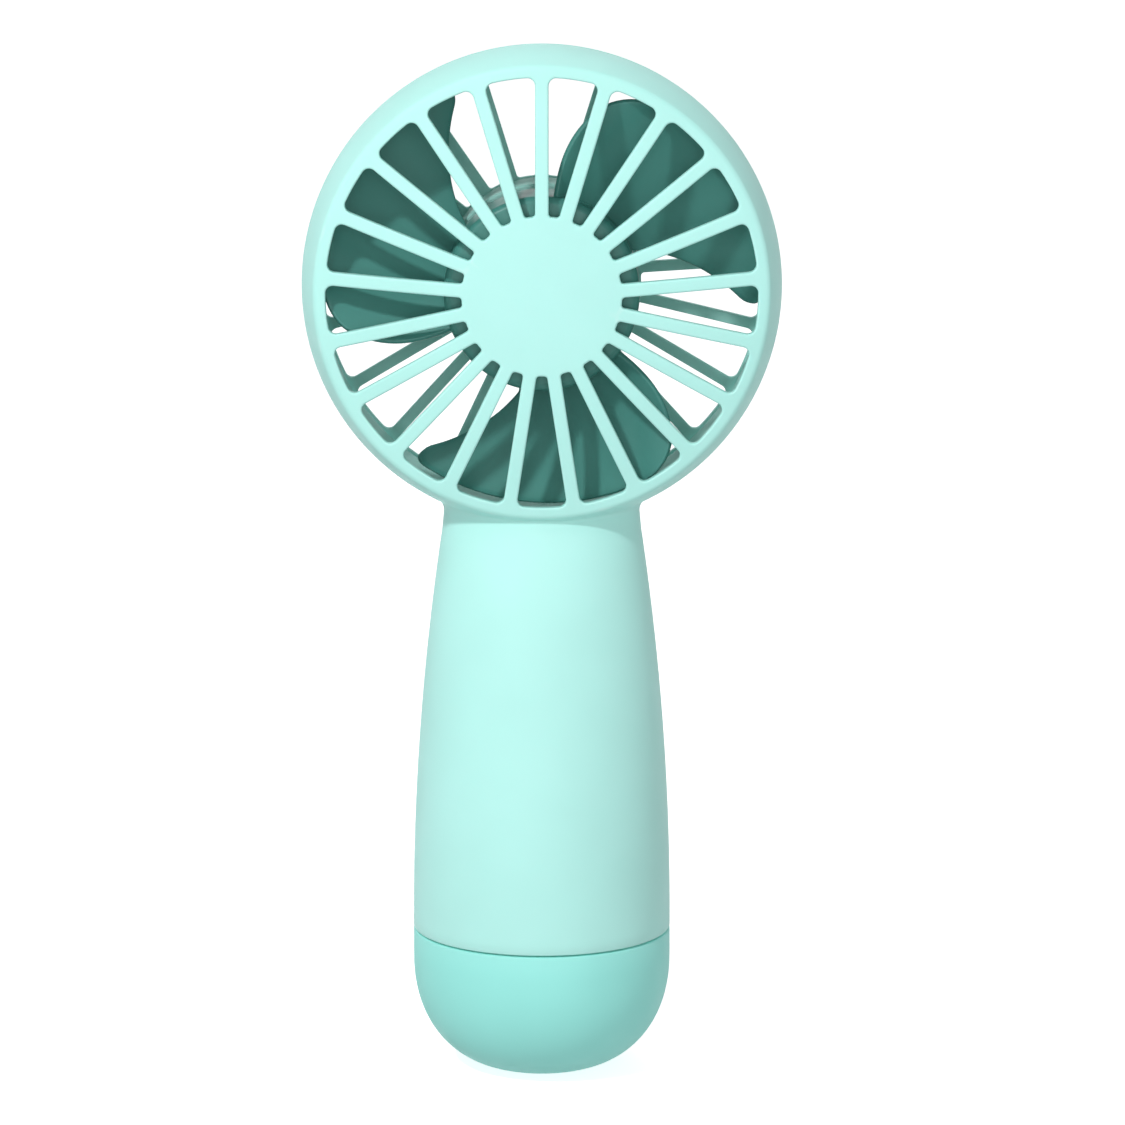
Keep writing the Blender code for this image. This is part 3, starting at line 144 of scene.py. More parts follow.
# Base cap and the spigot inside it
FOOT_RADIUS = 5.0
CAP_ROUND_HEIGHT = 20.0
CAP_ROUNDNESS = 2.2  # exponent of the superellipse that leads from the side to the foot
CAP_FLOOR = 2.4
CAP_FLOOR_RADIUS = 9.8
CAP_INSIDE_CORNER = (16.4, 3.6)
CAP_BORE = 20.6
CAP_BORE_START_Z = 13.0
CAP_BORE_ROWS = 12
CAP_MOUTH_CHAMFER = 0.3
CAP_ROWS = 32
CAP_SEGMENTS = 120
SPIGOT_RADIUS = 19.0
SPIGOT_BORE = 17.4
SPIGOT_SEGMENTS = 117  # bodies that meet differ in their segments, so that no faces coincide
BORE_SEGMENTS = 100
SPIGOT_BOTTOM_Z = 12.0
SPIGOT_CHAMFER = 0.4
SPIGOT_OVERLAP = 1.0  # how far the plug reaches above the shoulder, and the bore past the plug
SHOULDER_Z = 27.0
THREAD_PITCH = 3.2
THREAD_TURNS = 0.75
THREAD_DEPTH = 1.2
THREAD_WIDTH = 1.3
THREAD_SINK = 0.5  # how far the ridge's root lies inside the wall
THREAD_CREST = (0.9, 0.55, 0.3)  # share of the depth, and shares of the width there and at the tip
THREAD_STEPS = 90
THREAD_FADE = 6  # steps over which the ridge rises at each end
THREAD_START = math.radians(40)
SPIGOT_THREAD_Z = 14.0
CAP_THREAD_Z = SPIGOT_THREAD_Z + THREAD_PITCH / 2
SEAL_Z = 22.3
SEAL_RADIUS = 19.55
SEAL_THICKNESS = 0.85
SEAL_STEPS = 20

# Impeller
HUB_RADIUS = 16.7
HUB_FRONT_Y = -13.0
HUB_REAR_Y = 0.5
HUB_WALL = 1.1
HUB_FRONT_WALL = 1.2
HUB_EDGE = 0.2
HUB_ROUND = 1.4
HUB_ROUND_STEPS = 8
HUB_SEGMENTS = 144
BLADES = 3
BLADE_TIP = 38.0  # radius at the trailing edge
BLADE_TIP_LEAD = 37.2  # radius at the leading edge, where the duct is narrower
BLADE_FRONT_Y = -10.8
BLADE_REAR_Y = 2.2
BLADE_ROOT_REAR_Y = -0.3
BLADE_THICKNESS = 1.1
BLADE_SINK = 0.6
BLADE_CAMBER = 1.2
BLADE_CORNER = 4.2
LEAD_ROOT_ANGLE = 82.5
LEAD_SWEEP = 18.4
LEAD_BEND = 2.2
TRAIL_ROOT_ANGLE = 21.5
TRAIL_SWEEP = 30.7
BLADE_SPAN = 0.55  # a blade is about this share of its tip's radius long
BLADE_EDGE_SHARE = 0.12  # thickness of a blade's very edge, as a share of its full one

# Motor cup, screws, button, lamp and charging port of the rear
CUP_OUTER = 17.2
CUP_FRONT_Y = 2.4
CUP_EDGE = 0.3
CUP_SINK = 0.9  # how far inside the rear face the cup's wall ends
CUP_SEGMENTS = 97
CASE_SCREWS = ((15.0, 36.0), (12.6, 88.0))
CASE_SCREW_SEAT_Y = 4.0
CASE_BOSS_RADIUS = 3.2
CASE_BOSS_REACH = 22.0
SCREW_HEAD_RADIUS = 1.8
SCREW_HEAD_SIDE = 0.7
SCREW_HEAD_DOME = 0.8
SCREW_DOME_STEPS = 6
SCREW_SEGMENTS = 36
CROSS_ARM = 0.62  # half the length of a screw's cross recess, in head radii
CROSS_HALF_WIDTH = 0.28
CROSS_ENDS = (0.8, 3.0)  # above the screw's seat
BUTTON_Z = 66.0
BUTTON_RADIUS = 5.5
BUTTON_PROUD = 0.5
BUTTON_SEAT_Y = 16.6
BUTTON_SEAT_RADIUS = BUTTON_RADIUS + 1.8
BUTTON_BEVEL = 0.35  # width of the button's rounded edge
BUTTON_EDGE = ((0.1, 0.1), (0.0, 0.35))  # distance inside the edge, and drop
DISH_RADIUS = 4.2
DISH_DEPTH = 0.45
BUTTON_ROWS = 30
BUTTON_SEGMENTS = 96
BUTTON_HOLE_SEGMENTS = 72
SEAT_HOLE_SEGMENTS = 70
LENS_Z = 79.0
LENS_RADIUS = 1.2
LENS_DOME = 0.35
LENS_DOME_STEPS = 8
LENS_SEGMENTS = 40
PORT_Z = 40.0
PORT_WIDTH = 8.94
PORT_HEIGHT = 3.26
PORT_ROUND = PORT_HEIGHT / 2 + GAP - 0.01  # almost half the opening's height
PORT_CUT_Y = 18.0
INSIDE_Y = 12.0  # ends of the cutters through the handle's rear wall
OUTSIDE_Y = 30.0


# ---- Materials ----

# Painted shade: a darker, greyer mint laid on the plastic deep inside the head, where little light
# reaches, with the depth scale and ramp stops of its mask
INSIDE_SHADE = (0.12, 0.26, 0.22)
INSIDE_SHADE_SCALE = 10.0  # millimetres of depth over the whole ramp
INSIDE_SHADE_STOPS = ((0.06, 0.0), (0.24, 1.0))
MINT = (0.50, 0.93, 0.865)
CAP_MINT = (0.345, 0.87, 0.80)
TEAL = (0.065, 0.24, 0.21)
PLASTIC_IOR = 1.49


class Nodes:
    """A material's node tree, with short calls for the nodes used here."""

    def __init__(self, name):
        self.material = bpy.data.materials.new(name)
        self.material.use_nodes = True
        self.tree = self.material.node_tree
        self.shader = self.tree.nodes["Principled BSDF"]
        self.place = self.add("ShaderNodeTexCoord").outputs["Object"]

    def add(self, kind, **settings):
        node = self.tree.nodes.new(kind)
        for key, value in settings.items():
            setattr(node, key, value)
        return node

    def link(self, output, socket):
        self.tree.links.new(output, socket)

    def noise(self, scale, detail=3.0, roughness=0.55):
        node = self.add("ShaderNodeTexNoise")
        node.inputs["Scale"].default_value = scale
        node.inputs["Detail"].default_value = detail
        node.inputs["Roughness"].default_value = roughness
        self.link(self.place, node.inputs["Vector"])
        return node.outputs["Fac"]

    def ramp(self, value, stops):
        """Colours (or grey levels) along a value: stops are (position, colour or level)."""
        node = self.add("ShaderNodeValToRGB")
        elements = node.color_ramp.elements
        while len(elements) < len(stops):
            elements.new(0.5)
        for element, (position, colour) in zip(elements, stops):
            element.position = position
            element.color = (*colour, 1) if isinstance(colour, tuple) else (colour,) * 3 + (1,)
        self.link(value, node.inputs["Fac"])
        return node.outputs["Color"]

    def blend(self, factor, first, second):
        node = self.add("ShaderNodeMix", data_type="RGBA")
        for value, name in ((factor, "Factor"), (first, "A"), (second, "B")):
            socket = [s for s in node.inputs if s.name == name and s.enabled][0]
            if isinstance(value, bpy.types.NodeSocket):
                self.link(value, socket)
            elif name == "Factor":
                socket.default_value = value
            else:
                socket.default_value = (*value, 1)
        return [s for s in node.outputs if s.name == "Result" and s.enabled][0]

    def bump(self, heights):
        """Stacks bumps: heights are (value, strength, distance in metres)."""
        normal = None
        for value, strength, distance in heights:
            node = self.add("ShaderNodeBump")
            node.inputs["Strength"].default_value = strength
            node.inputs["Distance"].default_value = distance
            self.link(value, node.inputs["Height"])
            if normal:
                self.link(normal, node.inputs["Normal"])
            normal = node.outputs["Normal"]
        self.link(normal, self.shader.inputs["Normal"])

    def colour(self, output):
        self.link(output, self.shader.inputs["Base Color"])

    def rough(self, value, *stops):
        self.link(self.ramp(value, stops), self.shader.inputs["Roughness"])

    def set(self, **values):
        """Sets sockets of the shader by their names, with _ for a space."""
        for key, value in values.items():
            self.shader.inputs[key.replace("_", " ")].default_value = value

    def calculate(self, operation, *values):
        node = self.add("ShaderNodeMath", operation=operation)
        for value, socket in zip(values, node.inputs):
            if isinstance(value, bpy.types.NodeSocket):
                self.link(value, socket)
            else:
                socket.default_value = value
        return node.outputs["Value"]

    def head_depth(self):
        """How far a point lies inside the head's outer surface, in millimetres."""
        parts = self.add("ShaderNodeSeparateXYZ")
        self.link(self.place, parts.inputs["Vector"])
        x, y, z = [self.calculate("DIVIDE", parts.outputs[axis], MM) for axis in "XYZ"]
        z = self.calculate("SUBTRACT", z, HEAD_Z)
        square = self.calculate("ADD", self.calculate("POWER", x, 2.0), self.calculate("POWER", z, 2.0))
        radius = self.calculate("SQRT", square)
        bulge = self.calculate("DIVIDE", self.calculate("POWER", y, 2.0), 2 * FRONT_CROWN)
        side = self.calculate("SUBTRACT", self.calculate("SUBTRACT", HEAD_RADIUS, radius), bulge)
        front = self.calculate("SUBTRACT", y, FRONT_Y)
        front = self.calculate("SUBTRACT", front, self.calculate("DIVIDE", square, 2 * FRONT_DOME))
        rear = self.calculate("SUBTRACT", REAR_Y, y)
        rear = self.calculate("SUBTRACT", rear, self.calculate("DIVIDE", square, 2 * REAR_DOME))
        return self.calculate("MINIMUM", side, self.calculate("MINIMUM", front, rear))

    def edges(self, low, high):
        """A mask of the convex edges."""
        pointiness = self.add("ShaderNodeNewGeometry").outputs["Pointiness"]
        return self.ramp(pointiness, ((low, 0.0), (high, 1.0)))


def shade(colour, factor):
    return tuple(min(1.0, c * factor) for c in colour)


def moulded_plastic(name, colour, roughness, gloss=0.25, texture=0.12, translucence=0.0, inside_shade=0.0):
    """Moulded plastic: faint cloudiness in the colour, a fine eroded texture, and paler rubbed edges.

    The last argument is the strength of a painted shade: the plastic is painted darker and greyer deep
    inside the head, where little light reaches.
    """
    m = Nodes(name)
    cloud = m.noise(38.0, 2.0)
    tone = m.ramp(cloud, ((0.3, shade(colour, 0.955)), (0.7, shade(colour, 1.02))))
    speck = m.noise(2600.0, 2.0)
    tone = m.blend(m.ramp(speck, ((0.55, 0.0), (0.8, 0.10))), tone, shade(colour, 0.9))
    pale = tuple(c + (1 - c) * 0.35 for c in colour)
    tone = m.blend(m.blend(0.25, (0, 0, 0), m.edges(0.52, 0.62)), tone, pale)
    # Painted shade: the plastic turns to a darker, greyer mint the deeper it lies inside the head
    if inside_shade:
        depth = m.calculate("DIVIDE", m.head_depth(), INSIDE_SHADE_SCALE)
        painted_shade = m.ramp(depth, INSIDE_SHADE_STOPS)
        tone = m.blend(m.blend(inside_shade, (0, 0, 0), painted_shade), tone, INSIDE_SHADE)
    m.colour(tone)
    rub = m.noise(210.0, 4.0, 0.65)
    m.rough(rub, (0.35, roughness - 0.05), (0.7, roughness + 0.07))
    grain = m.noise(5200.0, 2.0)
    m.bump(((grain, texture, 0.00006), (m.noise(120.0, 1.0), 0.05, 0.0003)))
    m.set(IOR=PLASTIC_IOR, Specular_IOR_Level=gloss)
    if translucence:
        m.set(Subsurface_Weight=translucence, Subsurface_Radius=(0.7, 1.0, 0.95))
        m.set(Subsurface_Scale=0.0012)
    return m.material


def worked_metal(name, colour, roughness):
    """Metal with fine scratches, duller patches and bright edges."""
    m = Nodes(name)
    scratch = m.noise(900.0, 5.0, 0.7)
    patch = m.noise(140.0, 3.0)
    tone = m.ramp(scratch, ((0.3, shade(colour, 0.86)), (0.7, shade(colour, 1.06))))
    tone = m.blend(m.ramp(patch, ((0.5, 0.0), (0.75, 0.35))), tone, shade(colour, 0.75))
    tone = m.blend(m.edges(0.52, 0.6), tone, shade(colour, 1.2))
    m.colour(tone)
    m.rough(scratch, (0.3, roughness - 0.08), (0.75, roughness + 0.12))
    m.bump(((scratch, 0.15, 0.00003),))
    m.set(Metallic=1.0)
    return m.material


def soft_rubber(name, colour, roughness=0.7):
    m = Nodes(name)
    dust = m.noise(700.0, 4.0, 0.7)
    m.colour(m.ramp(dust, ((0.45, colour), (0.8, shade(colour, 2.2)))))
    m.rough(dust, (0.3, roughness - 0.1), (0.7, roughness + 0.1))
    m.bump(((m.noise(3000.0, 2.0), 0.2, 0.00005),))
    return m.material


def solder_mask(name):
    """A circuit board's green lacquer, with paler tracks showing through."""
    m = Nodes(name)
    track = m.add("ShaderNodeTexBrick")
    track.inputs["Scale"].default_value = 260.0
    track.inputs["Mortar Size"].default_value = 0.03
    m.link(m.place, track.inputs["Vector"])
    mottled = m.ramp(m.noise(500.0), ((0.3, (0.012, 0.12, 0.05)), (0.7, (0.02, 0.17, 0.075))))
    m.colour(m.blend(track.outputs["Fac"], mottled, (0.06, 0.27, 0.12)))
    m.rough(m.noise(900.0), (0.3, 0.3), (0.7, 0.45))
    m.bump(((track.outputs["Fac"], 0.2, 0.00005),))
    return m.material


def wound_copper(name):
    """Enamelled wire, laid in fine turns."""
    m = Nodes(name)
    wave = m.add("ShaderNodeTexWave", bands_direction="Y")
    wave.inputs["Scale"].default_value = 700.0
    wave.inputs["Distortion"].default_value = 1.5
    m.link(m.place, wave.inputs["Vector"])
    m.colour(m.ramp(wave.outputs["Fac"], ((0.1, (0.25, 0.07, 0.02)), (0.7, (0.72, 0.3, 0.12)))))
    m.rough(m.noise(800.0), (0.3, 0.25), (0.7, 0.4))
    m.bump(((wave.outputs["Fac"], 0.5, 0.0001),))
    m.set(Metallic=1.0)
    return m.material


def clear_lens(name):
    m = Nodes(name)
    m.colour(m.ramp(m.noise(900.0), ((0.3, (0.80, 0.88, 0.88)), (0.7, (0.9, 0.95, 0.95)))))
    m.rough(m.noise(300.0), (0.3, 0.08), (0.7, 0.16))
    m.bump(((m.noise(1500.0), 0.05, 0.00005),))
    m.set(IOR=PLASTIC_IOR, Transmission_Weight=0.6)
    return m.material


def make_materials():
    return {
        # the shell's plastic carries painted shade deep inside the head
        "mint_shell": moulded_plastic("mint_plastic", MINT, 0.55, translucence=0.15, inside_shade=0.5),
        "cap": moulded_plastic("cap_plastic", CAP_MINT, 0.55, translucence=0.1),
        "impeller": moulded_plastic("impeller_plastic", TEAL, 0.38, texture=0.06),
        "steel": worked_metal("bright_steel", (0.56, 0.57, 0.59), 0.3),
        "brass": worked_metal("brass", (0.74, 0.55, 0.25), 0.32),
        "copper": wound_copper("copper_wire"),
        "magnet": soft_rubber("bonded_ferrite", (0.045, 0.045, 0.05), 0.55),
        "rubber": soft_rubber("seal_rubber", (0.03, 0.03, 0.032)),
        "circuit_board": solder_mask("circuit_board"),
        "cell": moulded_plastic("cell_sleeve", (0.03, 0.13, 0.42), 0.3),
        "carrier": moulded_plastic("carrier_plastic", (0.72, 0.72, 0.69), 0.5),
        "dark_plastic": moulded_plastic("dark_plastic", (0.022, 0.022, 0.024), 0.45),
        "lens": clear_lens("lens_plastic"),
        "red_wire": soft_rubber("red_sleeve", (0.42, 0.015, 0.012), 0.5),
        "black_wire": soft_rubber("black_sleeve", (0.015, 0.015, 0.016), 0.5),
    }


# ---- Frames: how a flat outline is placed ----


def facing(x, z, y):
    """A point of an outline drawn on the fan's front, at depth y."""
    return Vector((x, y, z))


def plan(x, y, z):
    """A point of an outline seen from above, at height z."""
    return Vector((x, y, z))


def on_axis(x, z, y):
    """A point of an outline drawn about the fan axis, at depth y."""
    return Vector((x, y, z + HEAD_Z))


def polar(radius, angle):
    return radius * math.cos(angle), radius * math.sin(angle)


# ---- Building blocks ----


def add_object(name, data):
    made = bpy.data.objects.new(name, data)
    bpy.context.scene.collection.objects.link(made)
    return made


def piece(name, bm):
    """The object made of a mesh in millimetres."""
    bmesh.ops.remove_doubles(bm, verts=bm.verts, dist=WELD)
    bmesh.ops.recalc_face_normals(bm, faces=bm.faces)
    bmesh.ops.scale(bm, verts=bm.verts, vec=(MM, MM, MM))
    mesh = bpy.data.meshes.new(name)
    bm.to_mesh(mesh)
    bm.free()
    return smooth(add_object(name, mesh))


def smooth(made):
    made.data.shade_smooth()
    made.data.set_sharp_from_angle(angle=SHARP_ANGLE)
    return made


def boolean(target, operation, tools):
    """Joins, cuts or intersects the target with each tool, and removes the tools."""
    for tool in tools:
        modifier = target.modifiers.new(operation.lower(), "BOOLEAN")
        modifier.operation = operation
        modifier.object = tool
        modifier.solver = "MANIFOLD"
    bpy.context.view_layer.update()
    graph = bpy.context.evaluated_depsgraph_get()
    mesh = bpy.data.meshes.new_from_object(target.evaluated_get(graph))
    target.modifiers.clear()
    target.data = mesh
    for tool in tools:
        bpy.data.objects.remove(tool, do_unlink=True)
    return smooth(target)


def join(target, *tools):
    return boolean(target, "UNION", tools)


def cut(target, *tools):
    return boolean(target, "DIFFERENCE", tools)


def quads(bm, low, high):
    """Faces between two closed rows of equally many corners."""
    count = len(low)
    for k in range(count):
        bm.faces.new((low[k], low[(k + 1) % count], high[(k + 1) % count], high[k]))


def skin(bm, rows):
    """Quads between each closed row of points and the next, not yet welded."""
    for first, second in zip(rows, rows[1:]):
        quads(bm, *[[bm.verts.new(p) for p in row] for row in (first, second)])


def loft(rows):
    """The closed mesh through rows of equally many points, with flat ends."""
    bm = bmesh.new()
    made = [[bm.verts.new(p) for p in row] for row in rows]
    for low, high in zip(made, made[1:]):
        quads(bm, low, high)
    bm.faces.new(made[0])
    bm.faces.new(made[-1])
    return bm


def ring(radius, height, angles, place, centre=(0, 0)):
    """A row of points round an axis."""
    points = [polar(radius, angle) for angle in angles]
    return [place(x + centre[0], y + centre[1], height) for x, y in points]


def turned(profile, segments, place=plan, centre=(0, 0)):
    """The closed mesh of a profile of (radius, height) points turned about an axis.

    A profile that doesn't start and end on the axis is closed first.
    """
    bm = bmesh.new()
    closed = list(profile)
    if profile[0][0] or profile[-1][0]:
        closed.append(profile[0])
    angles = [FULL_TURN * k / segments for k in range(segments)]
    skin(bm, [ring(*point, angles, place, centre) for point in closed])
    bmesh.ops.remove_doubles(bm, verts=bm.verts, dist=WELD)
    return bm


def prism(outline, low, high, place):
    return loft([[place(x, y, level) for x, y in outline] for level in (low, high)])


def rectangle(left, right, low, high):
    return [(left, low), (right, low), (right, high), (left, high)]


def circle(radius, count, centre=(0, 0)):
    points = [polar(radius, FULL_TURN * k / count) for k in range(count)]
    return [(centre[0] + x, centre[1] + y) for x, y in points]


def rod(name, radius, low, high, centre, place, count=40):
    return piece(name, prism(circle(radius, count, centre), low, high, place))


def rounded_rectangle(width, height, radius, centre=(0, 0), steps=8):
    points = []
    for index, (i, j) in enumerate(((1, 1), (-1, 1), (-1, -1), (1, -1))):
        x, y = centre[0] + i * (width / 2 - radius), centre[1] + j * (height / 2 - radius)
        for step in range(steps + 1):
            across, up = polar(radius, RIGHT_ANGLE * (index + step / steps))
            points.append((x + across, y + up))
    return points


def curve_through(start, corner, end, steps):
    """A quadratic curve that leaves start towards corner and arrives at end from it."""
    points = []
    for step in range(1, steps):
        t = step / steps
        shares = ((1 - t) ** 2, 2 * t * (1 - t), t**2)
        point = [sum(s * p for s, p in zip(shares, parts)) for parts in zip(start, corner, end)]
        points.append(tuple(point))
    return points


def bends(steps):
    """Angles from 0 to a right angle."""
    return [RIGHT_ANGLE * step / steps for step in range(steps + 1)]


def levels(low, high, step):
    count = max(1, round(abs(high - low) / step))
    return [low + (high - low) * k / count for k in range(count + 1)]


# ---- Surfaces of the casing ----


def front_face(radius):
    return FRONT_Y + radius**2 / (2 * FRONT_DOME)


def rear_face(radius):
    return REAR_Y - radius**2 / (2 * REAR_DOME)


def barrel(y):
    """Radius of the head's side at a depth."""
    crown = FRONT_CROWN if y < 0 else REAR_CROWN
    return HEAD_RADIUS - y**2 / (2 * crown)


def head_underside(x, y):
    """Height of the head's outer surface under the fan axis."""
    return HEAD_Z - math.sqrt(barrel(max(y, UNDERSIDE_FRONT_Y)) ** 2 - x**2)


def handle_half_sizes(z, offset=0.0):
    """Half the handle's width and depth at a height."""
    climb = max(0.0, z - WIDEST_Z) ** 2 / (NECK_Z - WIDEST_Z) ** 2
    width = HANDLE_RADIUS - (HANDLE_RADIUS - NECK_HALF_WIDTH) * climb
    depth = HANDLE_RADIUS - (HANDLE_RADIUS - NECK_HALF_DEPTH) * climb
    return width + offset, depth + offset


HANDLE_ANGLES = [FULL_TURN * k / HANDLE_SEGMENTS for k in range(HANDLE_SEGMENTS)]


def handle_row(z, offset=0.0):
    width, depth = handle_half_sizes(z, offset)
    return [Vector((width * math.cos(a), depth * math.sin(a), z)) for a in HANDLE_ANGLES]


def neck_fillet(angle, offset):
    """Points of the arc that leads the neck's side into the head's underside, in one direction."""
    width, depth = handle_half_sizes(NECK_Z, offset)
    radius = FRONT_FILLET + (SIDE_FILLET - FRONT_FILLET) * math.cos(angle) ** 2
    tries = []
    for degrees in range(91):
        bend = math.radians(degrees)
        out = radius * (1 - math.cos(bend))
        height = head_underside((width + out) * math.cos(angle), (depth + out) * math.sin(angle))
        tries.append((height - radius * math.sin(bend), bend))
    # The lowest start from which the arc meets the underside, and how far it bends until there
    start, last = min(tries)
    points = []
    for row in range(FILLET_ROWS + 1):
        bend = last * row / FILLET_ROWS
        out = radius * (1 - math.cos(bend))
        across, along = (width + out) * math.cos(angle), (depth + out) * math.sin(angle)
        points.append(Vector((across, along, start + radius * math.sin(bend))))
    return points


def handle_outside(offset=0.0):
    """The handle's outer body, from the rounded seam edge into the middle of the head's wall."""
    bottom = SEAM_Z + GAP / 2
    rows = [handle_row(bottom, offset - SEAM_ROUND)]
    rows.append(handle_row(bottom + SEAM_ROUND / 3, offset - SEAM_ROUND / 3))
    straight = levels(bottom + SEAM_ROUND, NECK_Z - FILLET_MARGIN, HANDLE_STEP)
    rows += [handle_row(z, offset) for z in straight]
    fillets = [neck_fillet(a, min(offset, 0)) for a in HANDLE_ANGLES]
    rows += [[fillet[row] for fillet in fillets] for row in range(FILLET_ROWS + 1)]
    for share in BURIED_SHARES:
        rows.append([buried(fillet[FILLET_ROWS], share) for fillet in fillets])
    return piece("handle", loft(rows))


def buried(point, share):
    """A point nearer the handle's axis, in the middle of the head's wall."""
    x, y = point.x * share, point.y * share
    return Vector((x, y, head_underside(x, y) + WALL / 2))


# ---- Head ----


def slot_half(inner, outer, half_width, inner_corner, outer_corner):
    """Half a slot's outline, from the middle of its outer end to the middle of its inner end.

    The slot's own middle line is the X axis, and the spoke beside it lies half a pitch round.
    """
    lean = FULL_TURN / SPOKES / 2
    along = Vector((math.cos(lean), math.sin(lean)))
    aside = Vector((-math.sin(lean), math.cos(lean)))
    far = math.sqrt((outer - outer_corner) ** 2 - (half_width + outer_corner) ** 2)
    near = math.sqrt((inner + inner_corner) ** 2 - (half_width + inner_corner) ** 2)
    far_centre = along * far - aside * (half_width + outer_corner)
    near_centre = along * near - aside * (half_width + inner_corner)
    far_angle = math.atan2(far_centre.y, far_centre.x)
    near_angle = math.atan2(near_centre.y, near_centre.x)
    points = [Vector(polar(outer, far_angle * k / ARC_STEPS)) for k in range(ARC_STEPS)]
    for k in range(CORNER_STEPS):
        angle = far_angle + (lean + RIGHT_ANGLE - far_angle) * k / CORNER_STEPS
        points.append(far_centre + Vector(polar(outer_corner, angle)))
    for k in range(SIDE_STEPS):
        points.append(along * (far + (near - far) * k / SIDE_STEPS) - aside * half_width)
    for k in range(CORNER_STEPS):
        angle = lean + RIGHT_ANGLE + (near_angle + math.pi - lean - RIGHT_ANGLE) * k / CORNER_STEPS
        points.append(near_centre + Vector(polar(inner_corner, angle)))
    points += [Vector(polar(inner, near_angle * (1 - k / INNER_STEPS))) for k in range(INNER_STEPS + 1)]
    return points, far, near


def cell_half(start, end, far, near):
    """Half the edge of the cell round a slot, with one point for each point of the slot's outline."""
    lean = FULL_TURN / SPOKES / 2
    half_corner = CORNER_STEPS // 2
    outer_steps = ARC_STEPS + half_corner
    inner_steps = half_corner + INNER_STEPS
    radii = [end + (far - end) * k / half_corner for k in range(1, half_corner)]
    radii += [far + (near - far) * k / SIDE_STEPS for k in range(SIDE_STEPS)]
    radii += [near + (start - near) * k / half_corner for k in range(half_corner)]
    points = [Vector(polar(end, lean * k / outer_steps)) for k in range(outer_steps + 1)]
    points += [Vector(polar(radius, lean)) for radius in radii]
    points += [Vector(polar(start, lean * (1 - k / inner_steps))) for k in range(inner_steps + 1)]
    return points


def whole(half):
    """The closed outline made of a half and its mirror image."""
    return half + [Vector((p.x, -p.y)) for p in reversed(half[1:-1])]


def cell_angle(index):
    return UP + FULL_TURN * (index + 0.5) / SPOKES


def slot_row(slot, offset):
    """A slot's outline, wider all round by an offset."""
    inner, outer, spoke_width = slot
    inner_corner, outer_corner = [corner + offset for corner in SLOT_CORNERS]
    half_width = spoke_width / 2 - offset
    return whole(slot_half(inner - offset, outer + offset, half_width, inner_corner, outer_corner)[0])


def slot_steps():
    """Offset and depth of each row of points on a slot's wall, from outside to inside."""
    steps = [(OUTER_ROUND + HOLD, 0.0)]
    for bend in bends(OUTER_ROUND_STEPS):
        steps.append((OUTER_ROUND * (1 - math.sin(bend)), OUTER_ROUND * (1 - math.cos(bend))))
    steps.append((0.0, OUTER_ROUND + HOLD))
    steps.append((0.0, GRILLE_THICKNESS - INNER_ROUND - HOLD))
    for bend in bends(INNER_ROUND_STEPS):
        depth = GRILLE_THICKNESS - INNER_ROUND * (1 - math.sin(bend))
        steps.append((INNER_ROUND * (1 - math.cos(bend)), depth))
    return steps + [(INNER_ROUND + HOLD, GRILLE_THICKNESS)]


def cell_rows(slot, start, end, face, inwards):
    """The rows of points from a cell's edge outside, through its slot, to its edge inside."""
    inner, outer, spoke_width = slot
    far, near = slot_half(inner, outer, spoke_width / 2, *SLOT_CORNERS)[1:]
    edge = whole(cell_half(start, end, far, near))
    rows = [(edge, 0.0)]
    rows += [(slot_row(slot, offset), depth) for offset, depth in slot_steps()]
    rows.append((edge, GRILLE_THICKNESS))
    return [[(p, face(p.length) + inwards * depth) for p in row] for row, depth in rows]


def add_grille(bm, slot, start, end, face, inwards):
    """One grille: a cell round every slot, and the plain disc in the middle, outside and inside."""
    rows = cell_rows(slot, start, end, face, inwards)
    for index in range(SPOKES):
        turn = Matrix.Rotation(cell_angle(index), 2)
        skin(bm, [[on_axis(*(turn @ point), y) for point, y in row] for row in rows])
    steps = (CORNER_STEPS // 2 + INNER_STEPS) * 2
    angles = ring_angles(steps)
    radii = [start * (1 - k / DISC_RINGS) for k in range(DISC_RINGS + 1)]
    for depth in (0.0, inwards * GRILLE_THICKNESS):
        skin(bm, [ring(radius, face(radius) + depth, angles, on_axis) for radius in radii])


def ring_angles(steps):
    """The angles round the whole head at which the cells' edges have points."""
    half = FULL_TURN / SPOKES / 2
    return [cell_angle(i) - half + 2 * half * k / steps for i in range(SPOKES) for k in range(steps)]


def rim_profile():
    """Outer profile of the head between the grilles, as (radius, depth) points."""
    front = (FRONT_RIM[0], front_face(FRONT_RIM[0]))
    rear = (REAR_RIM[0], rear_face(REAR_RIM[0]))
    front_side, rear_side = [(barrel(y), y) for y in (FRONT_RIM[1], REAR_RIM[1])]
    front_corner = (FRONT_EDGE_RADIUS, front_face(FRONT_EDGE_RADIUS))
    rear_corner = (REAR_EDGE_RADIUS, rear_face(REAR_EDGE_RADIUS))
    profile = [front]
    profile += curve_through(front, front_corner, front_side, RIM_STEPS)
    profile += [(barrel(y), y) for y in levels(front_side[1], rear_side[1], BARREL_STEP)]
    profile += curve_through(rear_side, rear_corner, rear, RIM_STEPS)
    return profile + [rear]


def duct_profile():
    """Inner profile of the head between the grilles."""
    front = (FRONT_RIM[0], front_face(FRONT_RIM[0]) + GRILLE_THICKNESS)
    rear = (REAR_RIM[0], rear_face(REAR_RIM[0]) - GRILLE_THICKNESS)
    return [front] + [(barrel(y) - WALL, y) for y in levels(*DUCT_ENDS_Y, BARREL_STEP)] + [rear]


